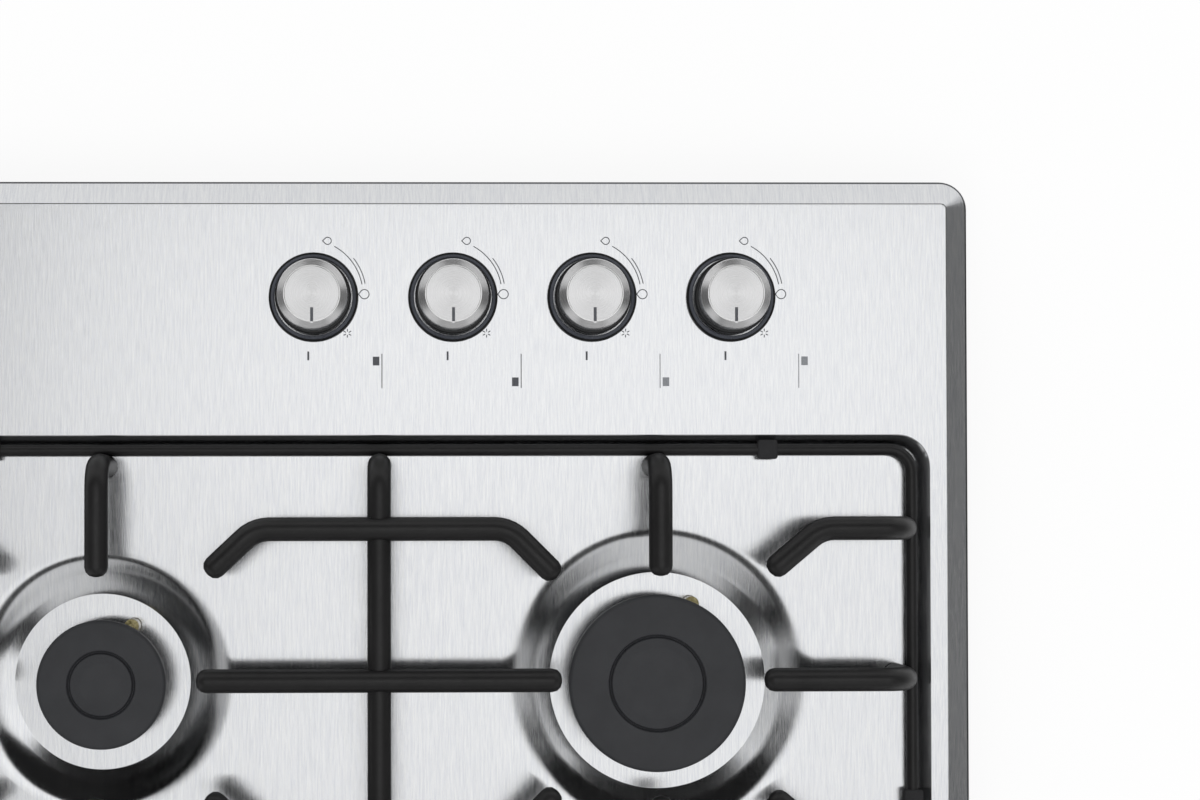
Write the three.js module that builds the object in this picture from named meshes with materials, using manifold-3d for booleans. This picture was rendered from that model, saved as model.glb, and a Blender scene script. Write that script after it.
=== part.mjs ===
// A built-in gas cooktop: pressed steel plate with a sunken well and four dished burner seats,
// two lift-off wire pan supports, and a row of four push-and-turn taps along its right side.
// Millimetres. +X is the cook's right, -Y the front edge, +Z up. The origin lies under the
// middle of the tray's bottom, so the tray stands on z = 0.
import * as THREE from "three";
import { mergeVertices } from "three/addons/utils/BufferGeometryUtils.js";
import Module from "manifold-3d";

const wasm = await Module();
wasm.setup();

// ---- Driving dimensions ------------------------------------------------------------------

const gap = 0.3; // seat clearance between pieces that touch

// Top plate, from the outside in
const hobWidth = 580;
const hobDepth = 510;
const hobCornerR = 12;
const plateTopZ = 50;
const sheet = 1;
const rimDrop = 6; // flat top down to the rim's lower edge
const rimLip = 1; // upright part of the rim
const bevelRun = 10;
const bevelCornerR = 2;

// Well that the pan supports stand in
const wellMargin = 17.4; // well's edge to the plate's front, rear and left edges
const controlStrip = 110; // well's edge to the plate's right edge
const wellDepth = 5;
const wellWallRun = 4;
const wellCornerR = 14;

// Burner seats
const dishDepth = 5;
const dishLipRun = 3;
const dishLipDrop = 0.5;

// Tray
const trayInset = 14; // tray wall to the plate's edge
const trayCornerR = 10;
const traySheet = 1;
const beadHeight = 1.5;
const beadWidth = 14;

// Seal and clamps
const sealHeight = 1.7;
const sealWidth = 8;
const sealInset = 1.5;
const clampWidth = 18;
const clampSheet = 1.5;
const clampReach = 11;
const clampLegHeight = 26;
const clampFootZ = 12;
const clampOffsetX = 150;

// Pan supports
const supportEndClear = 8; // ring centre line to the well's front and rear edges
const supportSideClear = 6.3; // ring centre line to the well's left and right edges
const supportGap = 8; // between the two supports' ring centre lines
const ringRodR = 2.5;
const ringCornerR = 10;
const ringLift = 4; // ring centre above the well floor
const fingerRodR = 5;
const fingerLift = 33; // finger centre above the well floor
const elbowR = 10;
const planBendR = 15; // bends that turn a finger in towards its burner
const crossDrop = 2.5; // centre bar below the bars that are welded across it
const weldSink = 0.6; // how far a leg is fused into the ring
const legClearance = 1.6; // leg's lower end above the well floor
const rodSides = 6;
const ringSides = 6;
const tubeSides = 6;
const fingerStep = Math.PI / 8; // most that a finger turns in one facet of a bend

// Fingers, as distances from the burner's axis
const burnerSetOff = 8.1; // burner row to the middle of its support
const fingerSetOff = 10.6; // straight bars that point at the burners, to the same middle
const bentSetOff = 9.1; // middle between the bent bars, to the same middle
const burnerToEnd = 111.4; // burner's axis to the end of the support's ring
const sideTip = 43.4; // tips that point along the support
const crossTip = 46.1; // tips that point across it
const bentBarOffset = 65;
const innerBentTip = 46.3; // ends of the inner bent bars
const outerBentTip = 48.4; // ends of the outer bent fingers
const innerBendOffset = 66.2; // where the inner bent bars turn in
const outerBendOffset = 71; // where the outer bent fingers turn in

// Rubber feet
const footLength = 10;
const footWidth = 9;
const footBaseWidth = 4.6;
const footTaper = 3.2;
const footHeight = 7;
const footFromEnd = 62.5; // feet on the ring's long sides
const footFromSide = 65; // feet on the ring's short sides

// Burners: cap, crown, bore through the crown, hole in the dish, dish, groove in the cap
const burnerSizes = {
  rapid: { capR: 47.5, crownR: 42.7, boreR: 22, throatR: 28, dishR: 72, dishFloorR: 56,
    grooveR: 25, slots: 16 },
  semi: { capR: 37.8, crownR: 33, boreR: 17, throatR: 22, dishR: 65, dishFloorR: 46.9,
    grooveR: 19, slots: 12 },
  auxiliary: { capR: 27.5, crownR: 22.8, boreR: 11, throatR: 15.5, dishR: 57.8, dishFloorR: 38,
    grooveR: 13, slots: 10 },
};
const cupDepth = 26; // below the dish
const cupWall = 3;
const cupFlange = 6;
const cupFlangeHeight = 4;
const neckHeight = 3; // cup's neck above the dish sheet
const injectorZ = 22;
const injectorR = 5;
const injectorReach = 12;
const crownHeight = 15;
const crownWall = 7;
const crownBase = 4; // crown's foot beyond the throat
const crownSpigot = 6;
const slotWidth = 2.2;
const slotDepth = 4.5;
const capHeight = 5.8;
const capEdge = 1.6;
const grooveWidth = 1.7;
const grooveDepth = 0.8;
const electrodeR = 3.1;
const electrodeAngle = -25.5; // degrees from +X about the burner
const electrodeRise = 12; // ceramic above the dish floor
const electrodeTail = 14;

// Knobs and taps
const knobPitch = 60;
const firstKnobY = 28.5;
const knobToEdge = 50.5;
const knobCount = 4;
const knobFootR = 16.3;
const knobCupR = 15.5;
const knobTopR = 12.6;
const knobHeight = 19.7; // knob's top above the plate
const knobChamfer = 2.6;
const knobFootHeight = 2.8;
const knobWall = 2.5;
const pushTravel = 4;
const bezelR = 19.3;
const bezelHeight = 2.7;
const pointerLength = 6.2;
const pointerWidth = 1.2;
const pointerDepth = 0.4;
const spindleR = 3;
const spindleFlat = 1.5; // depth of the D flat
const spindleEngage = 10; // spindle inside the knob's hub
const hubWall = 2.2;
const spindleHoleR = 6;
const tapBodyR = 11;
const tapBottomZ = 9;
const tapShoulderZ = 35;
const tapNeckWall = 2;
const plugTopR = 7.8;
const plugBottomR = 6.8;
const plugHeight = 21;
const plugClearance = 0.5; // the faceted plug turns inside its faceted seat
const tapOutletR = 4.5;
const tapOutletReach = 16;

// Gas rail, feed tubes, ignition
const railR = 7;
const railToEdge = 30; // rail axis to the plate's right edge
const railZ = 22;
const railOverrun = 17;
const inletToTray = 22; // inlet's axis to the tray's rear wall
const inletBend = 14;
const inletNutR = 10.4;
const inletNutHeight = 8;
const inletBoreR = 5;
const inletClear = 0.5; // inlet's lower face above z = 0
const tubeR = 3;
const tubeBend = 12;
const laneY = 18; // lanes of the two long tubes between the right-hand burners
const laneEndX = -92;
const moduleSize = [38, 58, 22];
const moduleToRail = 34;
const moduleY = 130;
const glandToRail = 60;
const glandR = 6;
const glandFlangeR = 9;

// Facets round a full turn
const dishFacets = 28;
const burnerFacets = 20;
const knobFacets = 18;
const tapFacets = 10;

// ---- Derived levels and places -----------------------------------------------------------

const wellFloorZ = plateTopZ - wellDepth;
const dishFloorZ = wellFloorZ - dishDepth;
const dishUnderZ = dishFloorZ - sheet;
const rimZ = plateTopZ - rimDrop;
const plateUnderZ = plateTopZ - sheet;
const ringZ = wellFloorZ + ringLift;
const fingerZ = wellFloorZ + fingerLift;
const crownFootZ = dishFloorZ - sheet + neckHeight + gap;
const crownTopZ = crownFootZ + crownHeight;
const capFootZ = crownTopZ + gap;

const wellLow = new THREE.Vector2(wellMargin - hobWidth / 2, wellMargin - hobDepth / 2);
const wellHigh = new THREE.Vector2(hobWidth / 2 - controlStrip, hobDepth / 2 - wellMargin);
const well = {
  x: (wellLow.x + wellHigh.x) / 2,
  y: (wellLow.y + wellHigh.y) / 2,
  w: wellHigh.x - wellLow.x,
  d: wellHigh.y - wellLow.y,
};
const supportLength = well.d - 2 * supportEndClear;
const supportWidth = (well.w - supportGap) / 2 - supportSideClear;
const supportPitch = supportWidth + supportGap;
const burnerSpacing = supportLength - 2 * burnerToEnd;
const supports = [
  { side: "right", x: well.x + supportPitch / 2, turn: 0 },
  { side: "left", x: well.x - supportPitch / 2, turn: Math.PI },
];
const burners = [
  { place: "rear_right", size: "auxiliary", side: 0, y: burnerSpacing / 2 },
  { place: "rear_left", size: "semi", side: 1, y: burnerSpacing / 2 },
  { place: "front_left", size: "rapid", side: 1, y: -burnerSpacing / 2 },
  { place: "front_right", size: "semi", side: 0, y: -burnerSpacing / 2 },
].map((b) => ({
  ...b,
  ...burnerSizes[b.size],
  x: supports[b.side].x + burnerSetOff * Math.cos(supports[b.side].turn),
}));
const knobX = hobWidth / 2 - knobToEdge;
const knobYs = Array.from({ length: knobCount }, (_, i) => firstKnobY - i * knobPitch);
const railX = hobWidth / 2 - railToEdge;
const trayWidth = hobWidth - 2 * trayInset;
const trayDepth = hobDepth - 2 * trayInset;
const inletY = trayDepth / 2 - inletToTray;
const glandX = railX - glandToRail;

// ---- Materials ---------------------------------------------------------------------------

const finish = (color, roughness, metalness) => ({ color, roughness, metalness });
const finishes = {
  brushedSteel: finish(0xd9dadb, 0.32, 1),
  galvanised: finish(0xa9adb0, 0.5, 1),
  blackEnamel: finish(0x222325, 0.45, 0),
  greyEnamel: finish(0x3e3f42, 0.6, 0),
  castAluminium: finish(0xa8a9a8, 0.5, 1),
  chromedCup: finish(0xc9cacb, 0.25, 1),
  blackPlastic: finish(0x141416, 0.4, 0),
  blackRubber: finish(0x1b1b1c, 0.8, 0),
  brass: finish(0xb79a55, 0.35, 1),
  ceramic: finish(0xe6e2d6, 0.4, 0),
  foam: finish(0x4a4a4c, 0.9, 0),
};

// ---- Geometry helpers --------------------------------------------------------------------

// A closed three.js geometry as a solid that can be cut and joined, with its faces pointing out.
function solid(geometry) {
  const bare = geometry.clone();
  bare.deleteAttribute("normal");
  bare.deleteAttribute("uv");
  const merged = mergeVertices(bare, 1e-4);
  const make = (triVerts) => new wasm.Manifold(new wasm.Mesh({
    numProp: 3,
    vertProperties: merged.attributes.position.array,
    triVerts,
  }));
  const triVerts = new Uint32Array(merged.index.array);
  const made = make(triVerts);
  return made.volume() < 0 ? make(triVerts.reverse()) : made;
}

const join = (parts) => parts.reduce((all, part) => all.add(part));
const cut = (body, tools) => tools.reduce((left, tool) => left.subtract(tool), body);

function geometryOf(body) {
  const mesh = body.getMesh();
  const geometry = new THREE.BufferGeometry();
  geometry.setAttribute("position", new THREE.BufferAttribute(mesh.vertProperties, 3));
  geometry.setIndex(new THREE.BufferAttribute(mesh.triVerts, 1));
  const flat = geometry.toNonIndexed();
  flat.computeVertexNormals();
  return flat;
}

function piece(name, body, look) {
  const mesh = new THREE.Mesh(geometryOf(body), new THREE.MeshStandardMaterial(look));
  mesh.name = name;
  return mesh;
}

// A body of revolution about the vertical line through (x, y). The profile is [radius, z] pairs.
function revolve(profile, segments, x = 0, y = 0) {
  const points = profile.map(([r, z]) => new THREE.Vector2(r, z));
  const onAxis = profile[0][0] === 0 && profile.at(-1)[0] === 0;
  if (!onAxis) points.push(points[0].clone());
  const geometry = new THREE.LatheGeometry(points, segments);
  geometry.rotateX(Math.PI / 2);
  geometry.translate(x, y, 0);
  return solid(geometry);
}

function drum(r, z0, z1, segments, x = 0, y = 0) {
  return revolve([[0, z0], [r, z0], [r, z1], [0, z1]], segments, x, y);
}

function block(x0, x1, y0, y1, z0, z1) {
  const geometry = new THREE.BoxGeometry(x1 - x0, y1 - y0, z1 - z0);
  geometry.translate((x0 + x1) / 2, (y0 + y1) / 2, (z0 + z1) / 2);
  return solid(geometry);
}

// One level of a loft: a rectangle with round corners, anticlockwise from above.
function level(x, y, w, d, r, z, cornerSteps = 4) {
  const ring = [];
  for (let corner = 0; corner < 4; corner++) {
    const cx = x + (corner === 0 || corner === 3 ? 1 : -1) * (w / 2 - r);
    const cy = y + (corner < 2 ? 1 : -1) * (d / 2 - r);
    for (let i = 0; i <= cornerSteps; i++) {
      const a = ((corner + i / cornerSteps) * Math.PI) / 2;
      ring.push(new THREE.Vector3(cx + r * Math.cos(a), cy + r * Math.sin(a), z));
    }
  }
  return ring;
}

// A closed body through a stack of levels with equal numbers of points.
function loft(levels) {
  const n = levels[0].length;
  const positions = levels.flat().flatMap((p) => [p.x, p.y, p.z]);
  const index = [];
  for (let l = 0; l + 1 < levels.length; l++)
    for (let i = 0; i < n; i++) {
      const a = l * n + i;
      const b = l * n + ((i + 1) % n);
      index.push(a, b, b + n, a, b + n, a + n);
    }
  const top = (levels.length - 1) * n;
  for (let i = 1; i + 1 < n; i++) {
    index.push(0, i + 1, i);
    index.push(top, top + i, top + i + 1);
  }
  const geometry = new THREE.BufferGeometry();
  geometry.setAttribute("position", new THREE.Float32BufferAttribute(positions, 3));
  geometry.setIndex(index);
  return solid(geometry);
}

const roundedPlate = (x, y, w, d, r, z0, z1) =>
  loft([level(x, y, w, d, r, z0), level(x, y, w, d, r, z1)]);

// A path through given points, one extrusion step from each to the next.
class Route extends THREE.Curve {
  constructor(points) {
    super();
    this.points = points;
  }
  index(t) {
    return Math.round(t * (this.points.length - 1));
  }
  getPoint(t) {
    return this.points[this.index(t)].clone();
  }
  getPointAt(u) {
    return this.getPoint(u);
  }
  getTangent(t) {
    const i = this.index(t);
    const here = this.points[i];
    const before = this.points[i - 1] ?? here;
    const after = this.points[i + 1] ?? here;
    const inward = here.clone().sub(before).normalize();
    return inward.add(after.clone().sub(here).normalize()).normalize();
  }
  getTangentAt(u) {
    return this.getTangent(u);
  }
}

// The given corners with each inner one rounded, to one radius or to a list of them, in steps of
// about the given angle.
function rounded(corners, radii, stepAngle = Math.PI / 4) {
  const points = [corners[0]];
  for (let i = 1; i + 1 < corners.length; i++) {
    const radius = radii[i - 1] ?? radii;
    const toBefore = corners[i - 1].clone().sub(corners[i]).normalize();
    const toAfter = corners[i + 1].clone().sub(corners[i]).normalize();
    const turn = Math.PI - toBefore.angleTo(toAfter);
    const steps = Math.ceil(turn / stepAngle - 0.01);
    const back = radius * Math.tan(turn / 2);
    const middle = toBefore.clone().add(toAfter).normalize();
    const centre = corners[i].clone().addScaledVector(middle, radius / Math.cos(turn / 2));
    const start = corners[i].clone().addScaledVector(toBefore, back).sub(centre);
    const axis = toAfter.clone().cross(toBefore).normalize();
    for (let s = 0; s <= steps; s++)
      points.push(start.clone().applyAxisAngle(axis, (turn * s) / steps).add(centre));
  }
  points.push(corners.at(-1));
  return points;
}

// A round bar along a path. Its polygon is set out so that its flats lie near the true radius.
function bar(points, r, sides = rodSides) {
  const outline = new THREE.Shape();
  const cornerR = r / Math.sqrt(Math.cos(Math.PI / sides));
  for (let i = 0; i < sides; i++) {
    const a = ((i + 0.5) * 2 * Math.PI) / sides;
    outline[i ? "lineTo" : "moveTo"](cornerR * Math.cos(a), cornerR * Math.sin(a));
  }
  outline.closePath();
  const extrudePath = new Route(points);
  return solid(new THREE.ExtrudeGeometry(outline, { steps: points.length - 1, extrudePath }));
}

const at = (x, y, z) => new THREE.Vector3(x, y, z);

// ---- Top plate ---------------------------------------------------------------------------

function topPlate() {
  const flatW = hobWidth - 2 * bevelRun;
  const flatD = hobDepth - 2 * bevelRun;
  const skin = loft([
    level(0, 0, hobWidth, hobDepth, hobCornerR, rimZ),
    level(0, 0, hobWidth, hobDepth, hobCornerR, rimZ + rimLip),
    level(0, 0, flatW, flatD, bevelCornerR, plateTopZ),
  ]);
  const inside = loft([
    level(0, 0, hobWidth - 2 * sheet, hobDepth - 2 * sheet, hobCornerR - sheet, rimZ - 2),
    level(0, 0, hobWidth - 2 * sheet, hobDepth - 2 * sheet, hobCornerR - sheet,
      rimZ + rimLip - sheet / 2),
    level(0, 0, flatW, flatD, bevelCornerR, plateUnderZ),
  ]);
  const floorW = well.w - 2 * wellWallRun;
  const floorD = well.d - 2 * wellWallRun;
  const floorR = wellCornerR - wellWallRun;
  const tub = loft([
    level(well.x, well.y, floorW + sheet, floorD + sheet, floorR + sheet / 2, wellFloorZ - sheet),
    level(well.x, well.y, well.w + 2 * sheet, well.d + 2 * sheet, wellCornerR + sheet,
      plateUnderZ + sheet / 2),
  ]);
  const hollow = loft([
    level(well.x, well.y, floorW, floorD, floorR, wellFloorZ),
    level(well.x, well.y, well.w, well.d, wellCornerR, plateTopZ),
    level(well.x, well.y, well.w, well.d, wellCornerR, plateTopZ + 1),
  ]);
  let plate = cut(skin, [inside]).add(tub).subtract(hollow);
  for (const b of burners) {
    const lipR = b.dishR - dishLipRun;
    const lipZ = wellFloorZ - dishLipDrop;
    plate = plate.add(revolve([
      [0, dishUnderZ],
      [b.dishFloorR + sheet / 2, dishUnderZ],
      [lipR + sheet / 2, lipZ - sheet],
      [b.dishR + sheet / 2, wellFloorZ - sheet],
      [b.dishR + sheet / 2, wellFloorZ - sheet / 2],
      [0, wellFloorZ - sheet / 2],
    ], dishFacets, b.x, b.y));
    plate = cut(plate, [
      revolve([
        [0, dishFloorZ],
        [b.dishFloorR, dishFloorZ],
        [lipR, lipZ],
        [b.dishR, wellFloorZ],
        [b.dishR, wellFloorZ + 1],
        [0, wellFloorZ + 1],
      ], dishFacets, b.x, b.y),
      drum(b.throatR, dishUnderZ - 1, dishFloorZ + 1, burnerFacets, b.x, b.y),
      drum(electrodeR + gap, dishUnderZ - 1, dishFloorZ + 1, 8, ...electrodePlace(b)),
    ]);
  }
  for (const y of knobYs)
    plate = plate.subtract(drum(spindleHoleR, plateUnderZ - 1, plateTopZ + 1, 12, knobX, y));
  return piece("top_plate", plate, finishes.brushedSteel);
}

// ---- Tray, seal, clamps ------------------------------------------------------------------

const glandZ = railZ;

function bottomTray() {
  const inner = [trayWidth - 2 * traySheet, trayDepth - 2 * traySheet, trayCornerR - traySheet];
  const shell = roundedPlate(0, 0, trayWidth, trayDepth, trayCornerR, 0, plateUnderZ - gap);
  const hollow = roundedPlate(0, 0, ...inner, traySheet, plateTopZ);
  const beads = [-1, 0, 1].flatMap((row) => {
    const length = trayDepth - 120;
    const x = well.x + row * 90;
    return [
      loft([
        level(x, 0, beadWidth, length, 3, traySheet / 2, 1),
        level(x, 0, beadWidth - 4, length - 4, 2, traySheet + beadHeight, 1),
      ]),
    ];
  });
  const grooves = [-1, 0, 1].map((row) => {
    const length = trayDepth - 120;
    const x = well.x + row * 90;
    return loft([
      level(x, 0, beadWidth - 1, length - 1, 3, -1, 1),
      level(x, 0, beadWidth - 1, length - 1, 3, 0, 1),
      level(x, 0, beadWidth - 5, length - 5, 2, beadHeight, 1),
    ]);
  });
  const glandHole = glandAcross(glandR + gap, trayDepth / 2 - 3, trayDepth / 2 + 3);
  const inletHole = drum(inletNutR + gap, -1, traySheet + 1, 20, railX, inletY);
  const tray = cut(join([cut(shell, [hollow]), ...beads]), [...grooves, glandHole, inletHole]);
  return piece("bottom_tray", tray, finishes.galvanised);
}

function seal() {
  const w = hobWidth - 2 * sealInset;
  const d = hobDepth - 2 * sealInset;
  const r = hobCornerR - sealInset;
  const top = rimZ - gap;
  const outer = roundedPlate(0, 0, w, d, r, top - sealHeight, top);
  const hole = roundedPlate(0, 0, w - 2 * sealWidth, d - 2 * sealWidth, r - sealWidth / 2,
    top - sealHeight - 1, top + 1);
  return piece("worktop_seal", cut(outer, [hole]), finishes.foam);
}

// A hook that pulls the cooktop down by the worktop's underside, hung on the tray's wall.
function clamp(name, x, rear) {
  const profile = new THREE.Shape();
  const wall = gap;
  profile.moveTo(wall, 0);
  profile.lineTo(clampReach, 0);
  profile.lineTo(clampReach, 6);
  profile.lineTo(clampReach - clampSheet, 6);
  profile.lineTo(clampReach - clampSheet, clampSheet);
  profile.lineTo(wall + clampSheet, clampSheet);
  profile.lineTo(wall + clampSheet, clampLegHeight);
  profile.lineTo(wall, clampLegHeight);
  profile.closePath();
  const geometry = new THREE.ExtrudeGeometry(profile, { depth: clampWidth, bevelEnabled: false });
  geometry.translate(0, 0, -clampWidth / 2);
  geometry.rotateX(Math.PI / 2);
  geometry.rotateZ(Math.PI / 2);
  const mesh = piece(name, solid(geometry), finishes.galvanised);
  mesh.position.set(x, (rear ? 1 : -1) * (trayDepth / 2), clampFootZ);
  mesh.rotation.z = rear ? 0 : Math.PI;
  return mesh;
}

// ---- Pan supports ------------------------------------------------------------------------

// One support in its own frame: its ring is centred on the origin and its burners lie at
// x = burnerSetOff, so the left support is the right one turned half round.
function supportFrame() {
  const hx = supportWidth / 2;
  const hy = supportLength / 2;
  const legX = hx - ringRodR - fingerRodR + weldSink;
  const legY = hy - ringRodR - fingerRodR + weldSink;
  const legZ = wellFloorZ + legClearance;
  const half = (side) => rounded([
    at(side, -hy, ringZ), at(side * hx, -hy, ringZ), at(side * hx, hy, ringZ), at(side, hy, ringZ),
  ], ringCornerR);
  // The two halves overlap at the middle of the short sides, where the ring is butt welded.
  const ends = (side) => half(side).map((p, i, all) =>
    i === 0 || i === all.length - 1 ? at(-side, p.y, p.z) : p);
  const rods = [bar(ends(1), ringRodR, ringSides), bar(ends(-1), ringRodR, ringSides)];
  const finger = (radii, ...corners) =>
    rods.push(bar(rounded(corners, radii, fingerStep), fingerRodR));
  const axisY = burnerSpacing / 2;
  const barEndY = axisY - innerBendOffset;
  const centreZ = fingerZ - crossDrop;
  finger([elbowR, elbowR], at(legX, 0, legZ), at(legX, 0, centreZ), at(-legX, 0, centreZ),
    at(-legX, 0, legZ));
  finger([], at(fingerSetOff, sideTip - axisY, fingerZ), at(fingerSetOff, axisY - sideTip, fingerZ));
  for (const sx of [1, -1]) {
    const barX = bentSetOff + sx * bentBarOffset;
    const tipX = bentSetOff + sx * innerBentTip;
    finger([planBendR, planBendR], at(tipX, innerBentTip - axisY, fingerZ),
      at(barX, -barEndY, fingerZ), at(barX, barEndY, fingerZ),
      at(tipX, axisY - innerBentTip, fingerZ));
    for (const sy of [1, -1]) {
      finger([elbowR], at(sx * legX, sy * axisY, legZ), at(sx * legX, sy * axisY, fingerZ),
        at(burnerSetOff + sx * crossTip, sy * axisY, fingerZ));
      finger([elbowR, planBendR], at(barX, sy * legY, legZ), at(barX, sy * legY, fingerZ),
        at(barX, sy * (axisY + outerBendOffset), fingerZ),
        at(bentSetOff + sx * outerBentTip, sy * (axisY + outerBentTip), fingerZ));
    }
  }
  for (const sy of [1, -1])
    finger([elbowR], at(fingerSetOff, sy * legY, legZ), at(fingerSetOff, sy * legY, fingerZ),
      at(fingerSetOff, sy * (axisY + sideTip), fingerZ));
  return join(rods);
}

// A rubber block with a bore that the ring rod runs through, narrow at its foot.
function foot(name, x, y, turn) {
  const profile = new THREE.Shape();
  const low = wellFloorZ + gap - ringZ;
  profile.moveTo(-footBaseWidth / 2, low);
  profile.lineTo(footBaseWidth / 2, low);
  profile.lineTo(footWidth / 2, low + footTaper);
  profile.lineTo(footWidth / 2, low + footHeight - 1);
  profile.lineTo(footWidth / 2 - 1, low + footHeight);
  profile.lineTo(1 - footWidth / 2, low + footHeight);
  profile.lineTo(-footWidth / 2, low + footHeight - 1);
  profile.lineTo(-footWidth / 2, low + footTaper);
  profile.closePath();
  const bore = new THREE.Path();
  const boreR = ringRodR * 1.05 + gap;
  for (let i = 0; i < 10; i++) {
    const a = (-i * 2 * Math.PI) / 10;
    bore[i ? "lineTo" : "moveTo"](boreR * Math.cos(a), boreR * Math.sin(a));
  }
  bore.closePath();
  profile.holes.push(bore);
  const geometry = new THREE.ExtrudeGeometry(profile, { depth: footLength, bevelEnabled: false });
  geometry.translate(0, 0, -footLength / 2);
  geometry.rotateX(Math.PI / 2);
  const mesh = piece(name, solid(geometry), finishes.blackRubber);
  mesh.position.set(x, y, ringZ);
  mesh.rotation.z = turn;
  return mesh;
}

function panSupport({ side, x, turn }) {
  const group = new THREE.Group();
  group.position.set(x, well.y, 0);
  group.rotation.z = turn;
  group.add(piece("pan_support_" + side, supportFrame(), finishes.blackEnamel));
  const hx = supportWidth / 2;
  const hy = supportLength / 2;
  const along = hy - footFromEnd;
  const across = footFromSide - hx;
  group.add(foot("foot_" + side + "_1", hx, along, 0));
  group.add(foot("foot_" + side + "_2", hx, -along, 0));
  group.add(foot("foot_" + side + "_3", across, hy, Math.PI / 2));
  group.add(foot("foot_" + side + "_4", across, -hy, Math.PI / 2));
  return group;
}

// ---- Burners -----------------------------------------------------------------------------

function electrodePlace(b) {
  const reach = b.crownR + 1 + electrodeR;
  const a = THREE.MathUtils.degToRad(electrodeAngle);
  return [b.x + reach * Math.cos(a), b.y + reach * Math.sin(a)];
}

// Mixing cup under the dish, with its neck up through the dish and a side boss for the injector.
function burnerCup(b) {
  const bottom = dishUnderZ - cupDepth;
  const bodyR = b.boreR + cupWall;
  const cup = revolve([
    [0, bottom],
    [bodyR, bottom],
    [bodyR, dishUnderZ - gap - cupFlangeHeight],
    [b.throatR + cupFlange, dishUnderZ - gap - cupFlangeHeight],
    [b.throatR + cupFlange, dishUnderZ - gap],
    [b.throatR - gap, dishUnderZ - gap],
    [b.throatR - gap, dishUnderZ + neckHeight],
    [b.boreR, dishUnderZ + neckHeight],
    [b.boreR, bottom + cupWall],
    [0, bottom + cupWall],
  ], burnerFacets);
  const boss = bar([at(b.boreR + 1, 0, injectorZ), at(bodyR + injectorReach, 0, injectorZ)],
    injectorR);
  return piece("burner_cup_" + b.place, cup.add(boss), finishes.castAluminium);
}

// Flame spreader: a flared cast ring on the cup's neck, slotted all round under the cap.
function burnerCrown(b) {
  const wallIn = b.crownR - crownWall;
  const body = revolve([
    [b.boreR - cupWall, crownFootZ - crownSpigot],
    [b.boreR - 0.4, crownFootZ - crownSpigot],
    [b.boreR - 0.4, crownFootZ],
    [b.throatR + crownBase, crownFootZ],
    [b.throatR + crownBase, crownFootZ + 2.5],
    [b.crownR, crownFootZ + 7],
    [b.crownR, crownTopZ],
    [wallIn, crownTopZ],
    [wallIn, crownTopZ - slotDepth - 1.5],
    [b.boreR - cupWall, crownFootZ + 5],
  ], burnerFacets);
  const slots = Array.from({ length: b.slots }, (_, i) => {
    const geometry = new THREE.BoxGeometry(crownWall + 4, slotWidth, slotDepth + 2);
    geometry.translate(b.crownR - crownWall / 2, 0, crownTopZ + 1 - slotDepth / 2);
    geometry.rotateZ(((i + 0.5) * 2 * Math.PI) / b.slots);
    return solid(geometry);
  });
  return piece("burner_crown_" + b.place, cut(body, slots), finishes.castAluminium);
}

function burnerCap(b) {
  const top = capFootZ + capHeight;
  const plugR = b.crownR - crownWall - 1;
  const body = revolve([
    [0, capFootZ - 1.5],
    [plugR, capFootZ - 1.5],
    [plugR, capFootZ],
    [b.capR - 0.6, capFootZ],
    [b.capR, capFootZ + 0.7],
    [b.capR, top - capEdge],
    [b.capR - capEdge, top],
    [b.grooveR + grooveWidth, top],
    [b.grooveR + grooveWidth, top - grooveDepth],
    [b.grooveR, top - grooveDepth],
    [b.grooveR, top],
    [0, top],
  ], burnerFacets);
  return piece("burner_cap_" + b.place, body, finishes.greyEnamel);
}

function electrode(b) {
  const body = revolve([
    [0, dishUnderZ - electrodeTail],
    [1.2, dishUnderZ - electrodeTail],
    [electrodeR, dishUnderZ - electrodeTail + 4],
    [electrodeR + 2, dishUnderZ - 3],
    [electrodeR + 2, dishUnderZ - gap],
    [electrodeR, dishUnderZ - gap],
    [electrodeR, dishFloorZ + electrodeRise - 3],
    [1, dishFloorZ + electrodeRise - 2],
    [1, dishFloorZ + electrodeRise + 1],
    [0, dishFloorZ + electrodeRise + 1],
  ], 8);
  const mesh = piece("electrode_" + b.place, body, finishes.ceramic);
  const [x, y] = electrodePlace(b);
  mesh.position.set(x, y, 0);
  return mesh;
}

function burner(b) {
  const group = new THREE.Group();
  group.add(electrode(b));
  const stack = new THREE.Group();
  stack.position.set(b.x, b.y, 0);
  stack.add(burnerCup(b), burnerCrown(b), burnerCap(b));
  group.add(stack);
  return group;
}

// ---- Knobs and taps ----------------------------------------------------------------------

const knobFootZ = plateTopZ + pushTravel + 0.4;
const knobTopZ = plateTopZ + knobHeight;
const hubZ = knobTopZ - 5;
const spindleTopZ = hubZ - gap;
const plugBottomZ = tapBottomZ + 3.4;
const plugBoreZ = plugBottomZ + 4.6;

function knob(place) {
  const boreR = spindleR + gap;
  const hollowR = knobCupR - knobWall;
  const body = revolve([
    [0, hubZ],
    [boreR, hubZ],
    [boreR, hubZ - spindleEngage],
    [boreR + hubWall, hubZ - spindleEngage],
    [boreR + hubWall, hubZ - 1],
    [hollowR, hubZ - 1],
    [hollowR, knobFootZ],
    [knobFootR, knobFootZ],
    [knobFootR, knobFootZ + knobFootHeight],
    [knobCupR, knobFootZ + knobFootHeight + 0.4],
    [knobCupR, knobTopZ - knobChamfer],
    [knobTopR, knobTopZ],
    [0, knobTopZ],
  ], knobFacets);
  const pointer = block(-knobTopR, pointerLength - knobTopR, -pointerWidth / 2, pointerWidth / 2,
    knobTopZ - pointerDepth, knobTopZ + 1);
  return piece("knob_" + place, cut(body, [pointer]), finishes.chromedCup);
}

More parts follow.
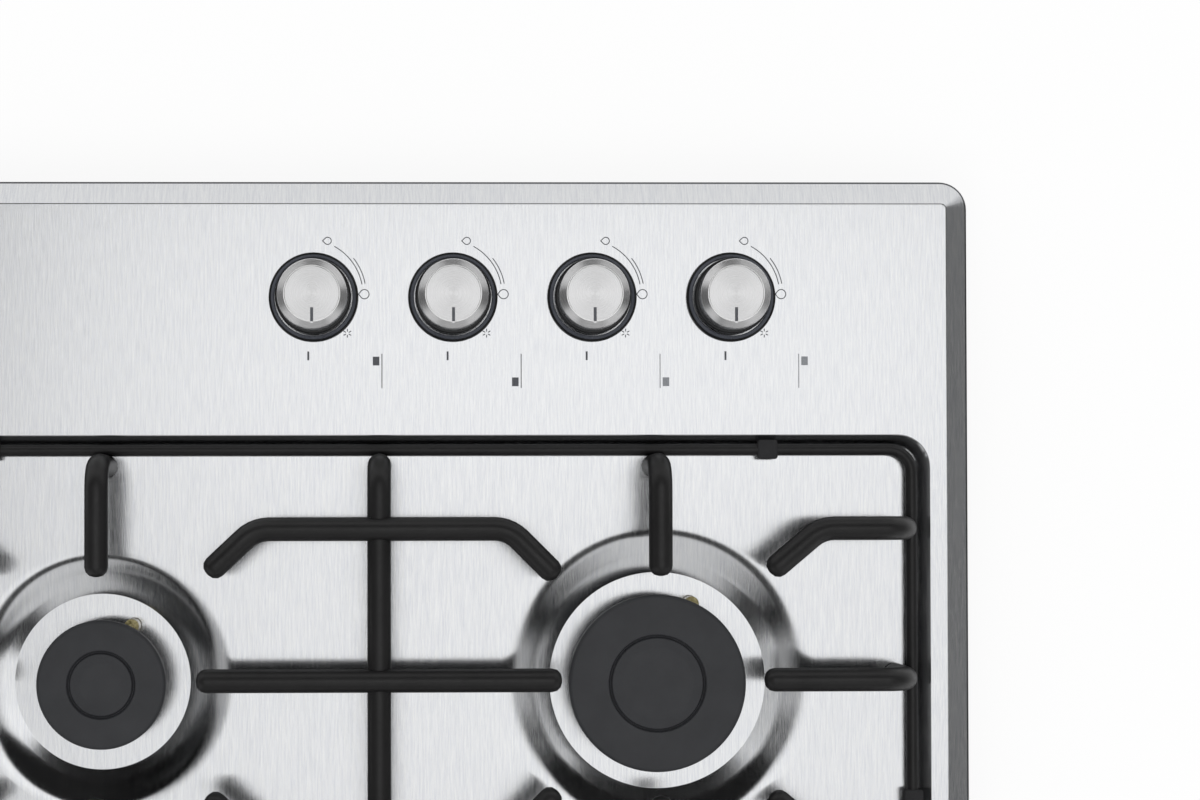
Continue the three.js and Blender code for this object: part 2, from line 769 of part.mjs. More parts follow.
function bezel(place) {
  const inner = knobFootR + 0.5;
  const foot = plateTopZ + gap;
  const top = plateTopZ + gap + bezelHeight;
  const body = revolve([
    [inner, foot],
    [bezelR, foot],
    [bezelR, top - 0.9],
    [bezelR - 0.9, top],
    [inner, top],
  ], knobFacets);
  return piece("knob_bezel_" + place, body, finishes.blackPlastic);
}

function spindle(place) {
  const bottom = plugBoreZ + pushTravel + 0.5;
  const shaft = drum(spindleR, bottom, spindleTopZ, 10);
  const flat = block(spindleR - spindleFlat, spindleR + 1, -spindleR, spindleR,
    spindleTopZ - spindleEngage, spindleTopZ + 1);
  return piece("tap_spindle_" + place, cut(shaft, [flat]), finishes.brass);
}

function tapPlug(place) {
  const top = plugBottomZ + plugHeight;
  const boreR = spindleR + 0.4;
  const body = revolve([
    [0, plugBottomZ],
    [plugBottomR, plugBottomZ],
    [plugTopR, top],
    [boreR, top],
    [boreR, plugBoreZ],
    [0, plugBoreZ],
  ], tapFacets);
  return piece("tap_plug_" + place, body, finishes.brass);
}

function tapBody(place) {
  const top = plateUnderZ - gap;
  const neckIn = spindleR + 0.6;
  const neckOut = neckIn + tapNeckWall;
  const cavityTop = plugBottomZ + plugHeight + 0.4;
  const body = revolve([
    [0, tapBottomZ],
    [tapBodyR - 2, tapBottomZ],
    [tapBodyR, tapBottomZ + 3],
    [tapBodyR, tapShoulderZ],
    [neckOut, tapShoulderZ + 3],
    [neckOut, top],
    [neckIn, top],
    [neckIn, cavityTop + 0.4],
    [plugTopR + plugClearance, cavityTop],
    [plugBottomR + plugClearance, plugBottomZ - 0.4],
    [0, plugBottomZ - 0.4],
  ], tapFacets);
  const wallX = plugTopR + 2;
  const outlet = bar([at(-wallX, 0, injectorZ), at(-tapOutletReach, 0, injectorZ)], tapOutletR);
  const saddle = block(wallX, railX - knobX - railR * 1.05 - gap, -6, 6, railZ - 6, railZ + 6);
  return piece("tap_body_" + place, join([body, outlet, saddle]), finishes.brass);
}

function control(place, y) {
  const group = new THREE.Group();
  group.position.set(knobX, y, 0);
  group.add(knob(place), bezel(place), spindle(place), tapPlug(place), tapBody(place));
  return group;
}

// ---- Gas rail, feed tubes, ignition ------------------------------------------------------

function gasRail() {
  const front = knobYs.at(-1) - railOverrun;
  const pipe = bar(rounded([
    at(railX, front, railZ), at(railX, inletY, railZ), at(railX, inletY, inletClear + 1),
  ], inletBend), railR, 10);
  const nut = drum(inletNutR, inletClear, inletClear + inletNutHeight, 6, railX, inletY);
  const bore = drum(inletBoreR, 0, inletClear + inletNutHeight, 12, railX, inletY);
  return piece("gas_rail", cut(pipe.add(nut), [bore]), finishes.galvanised);
}

// Each tube runs at one level from its tap's outlet to the boss on its burner's right side. The
// long ones take a lane between the two right-hand burners.
function feedTube(b, tapY, lane) {
  const fromX = knobX - tapOutletReach - gap;
  const toX = b.x + b.boreR + cupWall + injectorReach + gap;
  const corners = lane === null
    ? [at(fromX, tapY, injectorZ), at(fromX - 16, tapY, injectorZ), at(toX + 16, b.y, injectorZ),
      at(toX, b.y, injectorZ)]
    : [at(fromX, tapY, injectorZ), at(fromX - 16, tapY, injectorZ),
      at(fromX - 60, lane, injectorZ), at(laneEndX, lane, injectorZ),
      at(toX + 16, b.y, injectorZ), at(toX, b.y, injectorZ)];
  const tube = bar(rounded(corners, tubeBend), tubeR, tubeSides);
  return piece("feed_tube_" + b.place, tube, finishes.castAluminium);
}

function sparkModule() {
  const [w, d, h] = moduleSize;
  const [x, y] = [railX - moduleToRail, moduleY];
  const foot = traySheet + gap;
  const box = loft([
    level(x, y, w, d, 3, foot, 2),
    level(x, y, w - 2, d - 2, 2, foot + h, 2),
  ]);
  const posts = [-1.5, -0.5, 0.5, 1.5].map((i) =>
    drum(2.5, foot + h - 1, foot + h + 6, 6, x - 8, y + i * 11));
  return piece("spark_module", join([box, ...posts]), finishes.blackPlastic);
}

// A round bar through the tray's rear wall at the gland's place, between two values of y.
function glandAcross(r, y0, y1) {
  return bar([at(glandX, y0, glandZ), at(glandX, y1, glandZ)], r, 8);
}

function cableGland() {
  const wallOut = trayDepth / 2;
  const wallIn = wallOut - traySheet;
  const body = join([
    glandAcross(glandR * 0.96, wallIn - 12, wallOut + 9),
    glandAcross(glandFlangeR, wallOut + gap, wallOut + gap + 3),
    glandAcross(glandFlangeR, wallIn - gap - 4, wallIn - gap),
  ]);
  const bore = glandAcross(3.2, wallIn - 13, wallOut + 10);
  return piece("cable_gland", cut(body, [bore]), finishes.blackPlastic);
}

// ---- Assembly ----------------------------------------------------------------------------

const cooktop = new THREE.Group();
cooktop.name = "gas_cooktop";
cooktop.add(topPlate(), bottomTray(), seal(), gasRail(), sparkModule(), cableGland());
for (const [row, rear] of [["rear", true], ["front", false]])
  for (const [side, sx] of [["right", 1], ["left", -1]])
    cooktop.add(clamp("worktop_clamp_" + row + "_" + side, sx * clampOffsetX, rear));
for (const s of supports) cooktop.add(panSupport(s));
burners.forEach((b, i) => {
  const lanes = [null, laneY, -laneY, null];
  cooktop.add(burner(b), control(b.place, knobYs[i]), feedTube(b, knobYs[i], lanes[i]));
});

export default cooktop;
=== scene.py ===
"""A built-in gas cooktop: a brushed steel plate with a sunken well and four dished burner seats, two
lift-off wire pan supports on rubber feet, cast burners with enamelled caps, and four knobs in
bezels along the right side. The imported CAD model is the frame, and every piece here stands where
its CAD solid does. Metres, +X is the cook's right, -Y the front edge, +Z up."""

import math

import bmesh
import bpy
from mathutils import Matrix, Vector


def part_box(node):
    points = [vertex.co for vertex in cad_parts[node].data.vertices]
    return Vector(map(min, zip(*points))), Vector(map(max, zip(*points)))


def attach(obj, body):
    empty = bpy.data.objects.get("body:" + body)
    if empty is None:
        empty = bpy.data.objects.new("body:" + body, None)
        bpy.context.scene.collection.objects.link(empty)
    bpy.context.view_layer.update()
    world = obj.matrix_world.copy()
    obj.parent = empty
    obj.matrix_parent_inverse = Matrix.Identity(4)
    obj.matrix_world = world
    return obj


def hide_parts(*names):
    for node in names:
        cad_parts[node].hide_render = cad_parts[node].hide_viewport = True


bl_info = {
    "name": "Gas Cooktop",
    "version": (1, 0, 0),
    "blender": (4, 5, 0),
    "location": "View3D > Sidebar > Cooktop",
    "description": "Models a steel gas cooktop with wire pan supports, burners and knobs",
    "category": "Object",
}

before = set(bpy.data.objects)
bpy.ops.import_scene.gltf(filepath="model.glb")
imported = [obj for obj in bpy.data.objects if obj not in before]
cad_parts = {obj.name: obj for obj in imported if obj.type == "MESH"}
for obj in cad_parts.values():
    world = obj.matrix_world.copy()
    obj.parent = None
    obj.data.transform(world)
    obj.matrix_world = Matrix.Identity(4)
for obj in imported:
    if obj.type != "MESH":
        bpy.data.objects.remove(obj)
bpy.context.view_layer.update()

MM = 0.001
FULL_TURN = 2 * math.pi
MERGE_DISTANCE = 0.002 * MM
LEVEL_TOLERANCE = 0.001 * MM
# The part of a noise's range that nearly all of its values lie in
NOISE_MIDDLE = (0.3, 0.7)
WHITE = (1, 1, 1, 1)
BURNERS = ("rear_right", "rear_left", "front_left", "front_right")
SIDES = ("right", "left")


# ---- Reading the frame -------------------------------------------------------------------------


def middle_of(node):
    """The middle of a CAD node's box, in metres."""
    low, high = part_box(node)
    return (low + high) / 2


def burner_nodes(start):
    """Each burner place, its node's name, the node's middle from above, its lowest and top Z."""
    for name in BURNERS:
        node = start + name
        low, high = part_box(node)
        yield name, node, middle_of(node).xy, low.z, high.z


def nodes_named(start):
    return [name for name in sorted(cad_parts) if name.startswith(start)]


# ---- Colours and material nodes ----------------------------------------------------------------


def linear(hexa):
    """An sRGB hex colour such as "D6D9DC" as linear RGBA."""
    parts = [int(hexa[i : i + 2], 16) / 255 for i in (0, 2, 4)]
    return (*(c / 12.92 if c <= 0.04045 else ((c + 0.055) / 1.055) ** 2.4 for c in parts), 1.0)


def add_node(tree, kind, inputs=None, **settings):
    """Adds a shader node. Inputs maps a socket to a value or to another node's output."""
    node = tree.nodes.new(kind)
    for key, value in settings.items():
        setattr(node, key, value)
    for key, value in (inputs or {}).items():
        if isinstance(value, bpy.types.NodeSocket):
            tree.links.new(value, node.inputs[key])
        else:
            node.inputs[key].default_value = value
    return node


def cleared(owner):
    """The empty node tree of a material or world."""
    owner.use_nodes = True
    owner.node_tree.nodes.clear()
    return owner.node_tree


def new_material(name, hexa, metallic=0.0, roughness=0.5, **sockets):
    """A Principled material, and its tree and shader for what follows."""
    material = bpy.data.materials.new(name)
    tree = cleared(material)
    shader = add_node(tree, "ShaderNodeBsdfPrincipled", {
        "Base Color": linear(hexa), "Metallic": metallic, "Roughness": roughness, **sockets})
    add_node(tree, "ShaderNodeOutputMaterial", {"Surface": shader.outputs["BSDF"]})
    return material, tree, shader


def calculated(tree, operation, *values):
    """The result of a Math node."""
    return add_node(tree, "ShaderNodeMath", dict(enumerate(values)), operation=operation).outputs[0]


def vector(tree, operation, *vectors, output="Vector"):
    """The result of a Vector Math node."""
    return add_node(tree, "ShaderNodeVectorMath", dict(enumerate(vectors)),
                    operation=operation).outputs[output]


def mixed(tree, share, first, second, blend="MIX"):
    """The result of a colour Mix node."""
    return add_node(tree, "ShaderNodeMix", {0: share, 6: first, 7: second}, data_type="RGBA",
                    blend_type=blend).outputs[2]


def ranged(tree, value, start, end, low=0.0, high=1.0):
    """Maps start to end on to low to high, and holds beyond them."""
    return add_node(tree, "ShaderNodeMapRange", {
        "Value": value, "From Min": start, "From Max": end, "To Min": low,
        "To Max": high}).outputs["Result"]


def spread(tree, value, low=0.0, high=1.0):
    """Maps the middle of a noise's range on to low to high."""
    return ranged(tree, value, *NOISE_MIDDLE, low, high)


def object_place(tree):
    return add_node(tree, "ShaderNodeTexCoord").outputs["Object"]


def object_pattern(tree, *scale, centre=(0, 0, 0)):
    """Object coordinates about a centre, scaled to a pattern's pitch: one number, or one an axis."""
    moved = vector(tree, "SUBTRACT", object_place(tree), centre)
    return vector(tree, "MULTIPLY", moved, scale if len(scale) == 3 else scale * 3)


def noise(tree, place, detail=3.0, roughness=0.55):
    return add_node(tree, "ShaderNodeTexNoise", {
        "Vector": place, "Scale": 1.0, "Detail": detail, "Roughness": roughness}).outputs["Fac"]


def shaded(tree, shader, value, dark, light):
    """Lets a value from 0 to 1 run the base colour from a dark to a light hex colour."""
    tree.links.new(mixed(tree, value, linear(dark), linear(light)), shader.inputs["Base Color"])


def roughened(tree, shader, value, low, high):
    tree.links.new(spread(tree, value, low, high), shader.inputs["Roughness"])


def bumped(tree, shader, height, depth):
    """A bump whose full height is depth, in metres."""
    bump = add_node(tree, "ShaderNodeBump", {"Height": height, "Distance": depth, "Strength": 1.0})
    tree.links.new(bump.outputs["Normal"], shader.inputs["Normal"])


# ---- Modelling by hand -------------------------------------------------------------------------


class editing:
    """Puts one piece in edit mode with nothing in it selected, and comes back out."""

    def __init__(self, piece):
        self.piece = piece

    def __enter__(self):
        only(self.piece)
        bpy.ops.object.mode_set(mode="EDIT")
        bpy.ops.mesh.select_mode(type="VERT")
        bpy.ops.mesh.select_all(action="DESELECT")
        return self.piece

    def __exit__(self, *_):
        bpy.ops.object.mode_set(mode="OBJECT")


def only(*pieces):
    """Selects these pieces alone, the first as the active one."""
    bpy.ops.object.select_all(action="DESELECT")
    for piece in pieces:
        piece.select_set(True)
    bpy.context.view_layer.objects.active = pieces[0]


def pick(piece, kind, test):
    """In edit mode, selects the vertices, edges or faces that pass the test, and nothing else."""
    bpy.ops.mesh.select_mode(type=kind)
    bpy.ops.mesh.select_all(action="DESELECT")
    mesh = bmesh.from_edit_mesh(piece.data)
    parts = {"VERT": mesh.verts, "EDGE": mesh.edges, "FACE": mesh.faces}[kind]
    for part in parts:
        if test(part):
            part.select_set(True)
    bmesh.update_edit_mesh(piece.data)


def added(name):
    """The primitive just added, under its name."""
    piece = bpy.context.object
    piece.name = piece.data.name = name
    return piece


def primitive(kind, name, **settings):
    """Adds a mesh primitive under its name."""
    bpy.ops.object.select_all(action="DESELECT")
    getattr(bpy.ops.mesh, f"primitive_{kind}_add")(**settings)
    return added(name)


def box_at(name, size, place, turn=0.0):
    """A box about a place, turned about the vertical."""
    piece = primitive("cube", name, size=1, location=place, rotation=(0, 0, turn))
    piece.scale = size
    return settle(piece)


def joined(name, pieces):
    only(*pieces)
    if len(pieces) > 1:
        bpy.ops.object.join()
    return added(name)


def settle(piece):
    """Puts the piece's place into its mesh and leaves its object at the origin."""
    only(piece)
    bpy.ops.object.transform_apply(location=True, rotation=True, scale=True)
    return piece


def modified(piece, kind, **settings):
    """Adds a modifier with these settings and applies it."""
    only(piece)
    bpy.ops.object.modifier_add(type=kind)
    modifier = piece.modifiers[-1]
    for key, value in settings.items():
        setattr(modifier, key, value)
    bpy.ops.object.modifier_apply(modifier=modifier.name)
    return piece


def combined(piece, tool, operation="DIFFERENCE", **settings):
    """Cuts a tool out of a piece, or joins it to the piece, and deletes the tool."""
    modified(piece, "BOOLEAN", operation=operation, object=tool, solver="EXACT", **settings)
    bpy.data.objects.remove(tool)
    return piece


def merged_and_turned_out():
    """In edit mode, merges doubled points and turns the faces out."""
    bpy.ops.mesh.select_all(action="SELECT")
    bpy.ops.mesh.remove_doubles(threshold=MERGE_DISTANCE)
    bpy.ops.mesh.normals_make_consistent(inside=False)


def cleaned(piece):
    settle(piece)
    with editing(piece):
        merged_and_turned_out()
    return piece


def finished(piece, material, body, slot, *replaced, angle=32):
    """Gives a piece its shading and material, the body it rides on and the nodes it is. The slot
    argument is not used.
    """
    settle(piece)
    bpy.ops.object.shade_smooth_by_angle(angle=math.radians(angle))
    modified(piece, "WEIGHTED_NORMAL", keep_sharp=True)
    piece.data.materials.clear()
    piece.data.materials.append(material)
    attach(piece, body)
    if replaced:
        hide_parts(*replaced)
    return piece


def copied(piece, name, shift):
    """A copy with its own mesh, moved by a vector."""
    only(piece)
    bpy.ops.object.duplicate(linked=False)
    copy = added(name)
    copy.location = shift
    return settle(copy)


def eased(corners, steps=4):
    """Rounds a profile's corners. Each is (across, up) or (across, up, radius)."""
    points = [tuple(corners[0][:2])]
    for before, here, after in zip(corners, corners[1:], corners[2:]):
        if len(here) < 3:
            points.append(tuple(here))
            continue
        middle = Vector(here[:2])
        back, ahead = Vector(before[:2]) - middle, Vector(after[:2]) - middle
        turn = math.pi - back.angle(ahead)
        room = min(here[2] * math.tan(turn / 2), back.length * 0.49, ahead.length * 0.49)
        radius = room / math.tan(turn / 2)
        inward = (back.normalized() + ahead.normalized()).normalized()
        centre = middle + inward * radius / math.cos(turn / 2)
        spoke = middle + back.normalized() * room - centre
        hand = 1 if back.x * ahead.y - back.y * ahead.x < 0 else -1
        for step in range(steps + 1):
            turned_spoke = Matrix.Rotation(hand * turn * step / steps, 2) @ spoke
            points.append(tuple(centre + turned_spoke))
    points.append(tuple(corners[-1][:2]))
    return points


def turned(name, place, profile, segments=72, closed=False, open_ends=False):
    """Draws a round piece ring by ring through a profile of (radius, height), like turning it on a
    lathe. A closed profile makes a ring, and an open one is capped at both ends."""
    x, y = place
    points = list(profile) + ([profile[0]] if closed else [])
    piece = primitive("circle", name, vertices=segments, radius=points[0][0],
                      location=(x, y, points[0][1]),
                      fill_type="NOTHING" if closed or open_ends else "NGON")
    with editing(piece):
        bpy.ops.mesh.select_all(action="SELECT")
        for (radius, height), (next_radius, next_height) in zip(points, points[1:]):
            lift = (0, 0, next_height - height)
            bpy.ops.mesh.extrude_region_move(TRANSFORM_OT_translate={"value": lift})
            share = next_radius / radius
            bpy.ops.transform.resize(value=(share, share, 1), center_override=(x, y, next_height))
    return cleaned(piece)


TIP_TURNS = [math.radians(a) for a in (0, 30, 60, 90)]


def rod(name, corners, bends, radius, start_tip=0.0, end_tip=0.0):
    """Draws a round rod: straight runs by extrusion, bends by spinning its end round each bend's
    centre. A tip is the radius that the rod's end is rounded to."""
    corners = [Vector(corner) for corner in corners]
    heading = (corners[1] - corners[0]).normalized()
    piece = primitive("circle", name, vertices=24, radius=radius - start_tip, location=corners[0],
                      fill_type="NGON", rotation=heading.to_track_quat("Z", "Y").to_euler())
    here = corners[0].copy()

    def forward(distance, scale=1.0):
        nonlocal here
        step = heading * distance
        bpy.ops.mesh.extrude_region_move(TRANSFORM_OT_translate={"value": step})
        here = here + step
        if scale != 1.0:
            bpy.ops.transform.resize(value=(scale,) * 3, center_override=here)

    with editing(piece):
        bpy.ops.mesh.select_all(action="SELECT")
        if start_tip:
            wide = radius - start_tip
            for a, b in zip(TIP_TURNS, TIP_TURNS[1:]):
                forward(start_tip * (math.cos(a) - math.cos(b)),
                        (wide + start_tip * math.sin(b)) / (wide + start_tip * math.sin(a)))
        for i, corner in enumerate(corners[1:-1]):
            ahead = (corners[i + 2] - corner).normalized()
            turn = heading.angle(ahead)
            room = bends[i] * math.tan(turn / 2)
            forward((corner - here).length - room)
            axis = heading.cross(ahead).normalized()
            centre = here + axis.cross(heading) * bends[i]
            bpy.ops.mesh.spin(steps=max(3, round(math.degrees(turn) / 9)), angle=-turn,
                              center=centre, axis=axis)
            here = corner + ahead * room
            heading = ahead
        forward((corners[-1] - here).length - end_tip)
        if end_tip:
            wide = radius - end_tip
            for a, b in zip(TIP_TURNS, TIP_TURNS[1:]):
                forward(end_tip * (math.sin(b) - math.sin(a)),
                        (wide + end_tip * math.cos(b)) / (wide + end_tip * math.cos(a)))
    return cleaned(piece)


def plate_face(name, place, size, corner, height, segments):
    """A flat face in the shape of a rectangle with round corners."""
    piece = primitive("plane", name, size=1, location=(*place, height))
    piece.scale = (*size, 1)
    settle(piece)
    with editing(piece):
        bpy.ops.mesh.select_all(action="SELECT")
        bpy.ops.mesh.bevel(offset=corner, offset_type="OFFSET", segments=segments,
                           affect="VERTICES", profile=0.5)
    return piece


def stepped_in(piece, profile):
    """Insets the one face of a piece step by step down or up a profile of (inward, height)."""
    with editing(piece):
        bpy.ops.mesh.select_mode(type="FACE")
        bpy.ops.mesh.select_all(action="SELECT")
        for (inward, height), (next_inward, next_height) in zip(profile, profile[1:]):
            bpy.ops.mesh.inset(thickness=next_inward - inward, depth=next_height - height)
        bpy.ops.mesh.delete(type="ONLY_FACE")
    return piece


def filled_level(piece, height, near=None):
    """Fills the flat between the open loops at one height, leaving the holes inside it open."""
    def at_level(edge):
        if not (edge.is_boundary or edge.is_wire):
            return False
        if any(abs(v.co.z - height) > LEVEL_TOLERANCE for v in edge.verts):
            return False
        return near is None or near(edge.verts[0].co)

    pick(piece, "EDGE", at_level)
    bpy.ops.mesh.fill(use_beauty=False)


# ---- Finishes ----------------------------------------------------------------------------------


def brushed_steel():
    """Stainless steel sheet, brushed left to right: short scratches along X that spread every
    reflection sideways and leave it crisp along the grain. The dark line along the outer edge is
    a painted reflection, laid in the base colour."""
    rough = bpy.context.scene.cooktop_finish.steel_roughness
    material, tree, shader = new_material("brushed_stainless_steel", "EEEFF1", metallic=1.0,
                                          roughness=rough, Anisotropic=0.85)
    across = add_node(tree, "ShaderNodeCombineXYZ", {"Y": 1.0})
    tree.links.new(across.outputs[0], shader.inputs["Tangent"])
    # Scratches are 0.1 mm wide in life and 0.4 mm here, so that they show.
    fine = noise(tree, object_pattern(tree, 190, 2500, 300), detail=2.0, roughness=0.6)
    broad = noise(tree, object_pattern(tree, 90, 1250, 80), detail=2.0)
    grain = spread(tree, calculated(tree, "MULTIPLY", calculated(tree, "ADD", fine, broad), 0.5))
    brushed = mixed(tree, grain, linear("E6E8ED"), linear("FEFFFF"))
    # Painted reflection: the outermost millimetre of the sheet, seen from above, is painted dark
    # grey in the base colour, standing in for the dark that the rim's rounding reflects.
    plate = bpy.context.scene.cooktop_plate
    straight = (plate.width / 2 - plate.corner, plate.depth / 2 - plate.corner, 1)
    quarter = vector(tree, "ABSOLUTE", object_place(tree))
    past = vector(tree, "MAXIMUM", vector(tree, "SUBTRACT", quarter, straight), (0, 0, 0))
    edge = ranged(tree, vector(tree, "LENGTH", past, output="Value"), plate.corner - 1.0 * MM,
                  plate.corner - 0.7 * MM)
    tree.links.new(mixed(tree, edge, brushed, linear("626366")), shader.inputs["Base Color"])
    roughened(tree, shader, fine, rough - 0.03, rough + 0.04)
    bumped(tree, shader, fine, 0.014 * MM)
    return material


def black_enamel():
    """Steel wire coated in black enamel and fired: smooth, with a faint orange peel."""
    material, tree, shader = new_material("fired_black_enamel", "0F0E0F", roughness=0.44,
                                          **{"Specular IOR Level": 0.75})
    peel = noise(tree, object_pattern(tree, 450), detail=2.0)
    cloud = noise(tree, object_pattern(tree, 60), detail=2.0)
    shaded(tree, shader, spread(tree, cloud), "0C0B0C", "131213")
    roughened(tree, shader, peel, 0.4, 0.48)
    bumped(tree, shader, peel, 0.03 * MM)
    return material


def cap_enamel():
    """Pressed steel coated in dark grey enamel: matt, with a fine grit."""
    material, tree, shader = new_material("matt_grey_enamel", "323336")
    grit = noise(tree, object_pattern(tree, 1400))
    cloud = noise(tree, object_pattern(tree, 90), detail=2.0)
    tone = calculated(tree, "MULTIPLY", calculated(tree, "ADD", grit, cloud), 0.5)
    shaded(tree, shader, spread(tree, tone), "2B2C2F", "343538")
    roughened(tree, shader, grit, 0.44, 0.56)
    bumped(tree, shader, grit, 0.02 * MM)
    return material


def cells(tree, pitch, output):
    return add_node(tree, "ShaderNodeTexVoronoi", {
        "Vector": object_pattern(tree, pitch), "Scale": 1.0,
        "Randomness": 1.0}).outputs[output]


def zinc_coat():
    """Hot-dip galvanised sheet: a soft spangle in two greys under a matt skin."""
    material, tree, shader = new_material("galvanised_sheet", "A6AAAD", metallic=1.0,
                                          roughness=0.46)
    grey = add_node(tree, "ShaderNodeRGBToBW", {"Color": cells(tree, 160, "Color")}).outputs[0]
    soft = noise(tree, object_pattern(tree, 90))
    shaded(tree, shader, calculated(tree, "MULTIPLY", grey, soft), "989CA0", "BCC0C2")
    roughened(tree, shader, soft, 0.4, 0.56)
    bumped(tree, shader, soft, 0.02 * MM)
    return material


def sealing_foam():
    """Closed-cell foam strip: charcoal, with open pores cut at its faces."""
    material, tree, shader = new_material("closed_cell_foam", "38383A", roughness=0.92)
    pores = cells(tree, 1300, "Distance")
    shaded(tree, shader, pores, "2A2A2C", "464648")
    bumped(tree, shader, pores, 0.1 * MM)
    return material


def spun_metal(name, centre, rim):
    """Satin chromium over a turned face: tool rings about its centre stretch each highlight, and a
    painted highlight in the base colour lightens the rim round the face."""
    material, tree, shader = new_material(name, "F0F0F1", metallic=1.0, roughness=0.24,
                                          Anisotropic=0.5)
    spot = object_pattern(tree, 1, 1, 0, centre=centre)
    tree.links.new(vector(tree, "NORMALIZE", spot), shader.inputs["Tangent"])
    radius = vector(tree, "LENGTH", spot, output="Value")
    rings = add_node(tree, "ShaderNodeTexNoise", {
        "W": calculated(tree, "MULTIPLY", radius, 3500.0), "Scale": 1.0, "Detail": 2.0},
        noise_dimensions="1D").outputs["Fac"]
    # Painted highlight: the base colour is lightened in a thin band at the face's rim, standing in
    # for the bright line that the rim's rounding reflects.
    from_rim = calculated(tree, "ABSOLUTE", calculated(tree, "SUBTRACT", radius, rim))
    painted_rim_highlight = ranged(tree, from_rim, 0.25 * MM, 0.5 * MM, 1.0, 0.0)
    rings_and_rim_highlight = calculated(tree, "MAXIMUM", spread(tree, rings, 0.0, 0.45), painted_rim_highlight)
    shaded(tree, shader, rings_and_rim_highlight, "F0F0F1", "FFFFFF")
    roughened(tree, shader, rings, 0.21, 0.28)
    return material


# Finishes with a single grain: the material's name, its plain, dark and light colour, how metallic
# and how rough it is, the grain's pitch, its range of roughness and its relief in millimetres
GRAINED = {
    # Die-cast aluminium, blasted: grainy and matt
    "cast_aluminium": ("blasted_cast_aluminium", "A3A4A4", "909192", "B2B3B3", 1.0, 0.48, (1100,),
                       (0.42, 0.58), 0.04),
    # Drawn aluminium tube: satin, with faint draw lines
    "drawn_aluminium": ("drawn_aluminium", "BDBEBF", "B1B2B4", "C8C9CA", 1.0, 0.32,
                        (120, 120, 1500), (0.27, 0.38), None),
    # Turned brass: warm, with fine tool rings
    "turned_brass": ("turned_brass", "B89A58", "A88A4A", "C4A766", 1.0, 0.33, (100, 100, 2200),
                     (0.27, 0.4), None),
    # Glossy moulded ABS, near black: clear reflections over a faint texture
    "moulded_black": ("moulded_black_abs", "101113", "0E0F11", "131416", 0.0, 0.22, (900,),
                      (0.18, 0.27), None),
    # Moulded silicone rubber: matt black with a fine dusty grain
    "black_rubber": ("moulded_black_rubber", "161617", "202022", "2C2C2E", 0.0, 0.72, (1500,),
                     (0.66, 0.8), 0.02),
    # Alumina ceramic under a clear glaze: cream, with a little cloud in it
    "glazed_ceramic": ("glazed_alumina", "E2DDCF", "D9D2C1", "EAE6DA", 0.0, 0.24, (500,),
                       (0.2, 0.3), None),
    # A nickel alloy pin and cap that the flame has tinted olive and straw
    "heat_tinted_tip": ("heat_tinted_nickel", "B5A56C", "8F8458", "E6D9A4", 0.6, 0.4, (800,),
                        (0.3, 0.55), 0.05),
    # Dark grey metallic lacquer on moulded ABS: satin, with a fine sparkle
    "bezel_lacquer": ("dark_grey_lacquer", "5A5D64", "484B52", "5C5F67", 0.35, 0.3, (2200,),
                      (0.25, 0.36), None),
    # Screen-printed grey ink, baked on: matt, with a slightly broken tone
    "printed_ink": ("screen_printed_ink", "505257", "46484D", "5D5F64", 0.0, 0.6, (1800,), None,
                    None),
    # The same ink in a thinner coat, which lets some steel through
    "pale_printed_ink": ("thin_printed_ink", "85888D", "787B80", "94979B", 0.0, 0.55, (1800,),
                         None, None),
}


def grained(name, plain, dark, light, metallic, rough, pitch, rough_range, relief):
    """A finish from a row of the table."""
    material, tree, shader = new_material(name, plain, metallic=metallic, roughness=rough)
    grain = noise(tree, object_pattern(tree, *pitch))
    shaded(tree, shader, spread(tree, grain), dark, light)
    if rough_range:
        roughened(tree, shader, grain, *rough_range)
    if relief:
        bumped(tree, shader, grain, relief * MM)
    return material


SPECIAL = {"brushed_steel": brushed_steel, "black_enamel": black_enamel, "cap_enamel": cap_enamel,
           "zinc_coat": zinc_coat, "sealing_foam": sealing_foam}
FINISHES = {}


def finish(name):
    """A finish by its name, made once."""
    if name not in FINISHES:
        FINISHES[name] = SPECIAL[name]() if name in SPECIAL else grained(*GRAINED[name])
    return FINISHES[name]


# ---- Sizes and colours -------------------------------------------------------------------------


def length(name, description, millimetres):
    return bpy.props.FloatProperty(name=name, description=description, precision=5,
                                   default=millimetres * MM, unit="LENGTH")


def share(name, description, value):
    return bpy.props.FloatProperty(name=name, description=description, default=value,
                                   min=0.0, max=1.0, subtype="FACTOR")


def count(name, description, value):
    return bpy.props.IntProperty(name=name, description=description, default=value, min=3)


class CooktopPlateSizes(bpy.types.PropertyGroup):
    width: length("Width", "Plate, left to right", 580)
    depth: length("Depth", "Plate, front to rear", 510)
    corner: length("Corner", "Radius of the plate's corners", 12)
    top: length("Top", "Height of the plate's flat above the tray's underside", 50)
    rim: length("Rim", "Height of the rim's lower edge", 44)
    lip: length("Lip", "Upright part of the rim", 1)
    bevel: length("Bevel", "Run of the sloping edge", 10)
    sheet: length("Sheet", "Thickness of the steel", 1)
    well_margin: length("Well margin", "Well's edge to the front, rear and left edges", 17.4)
    control_strip: length("Control strip", "Well's edge to the right edge", 110)
    well_depth: length("Well depth", "Depth of the sunken floor", 5)
    well_wall: length("Well wall", "Run of the well's wall", 5.4)
    well_corner: length("Well corner", "Radius of the well's corners", 14)
    dish_depth: length("Dish depth", "Burner seat below the well's floor", 5)
    spindle_hole: length("Spindle hole", "Radius of the holes under the knobs", 6)
    corner_steps: count("Corner steps", "Segments in each round corner", 10)


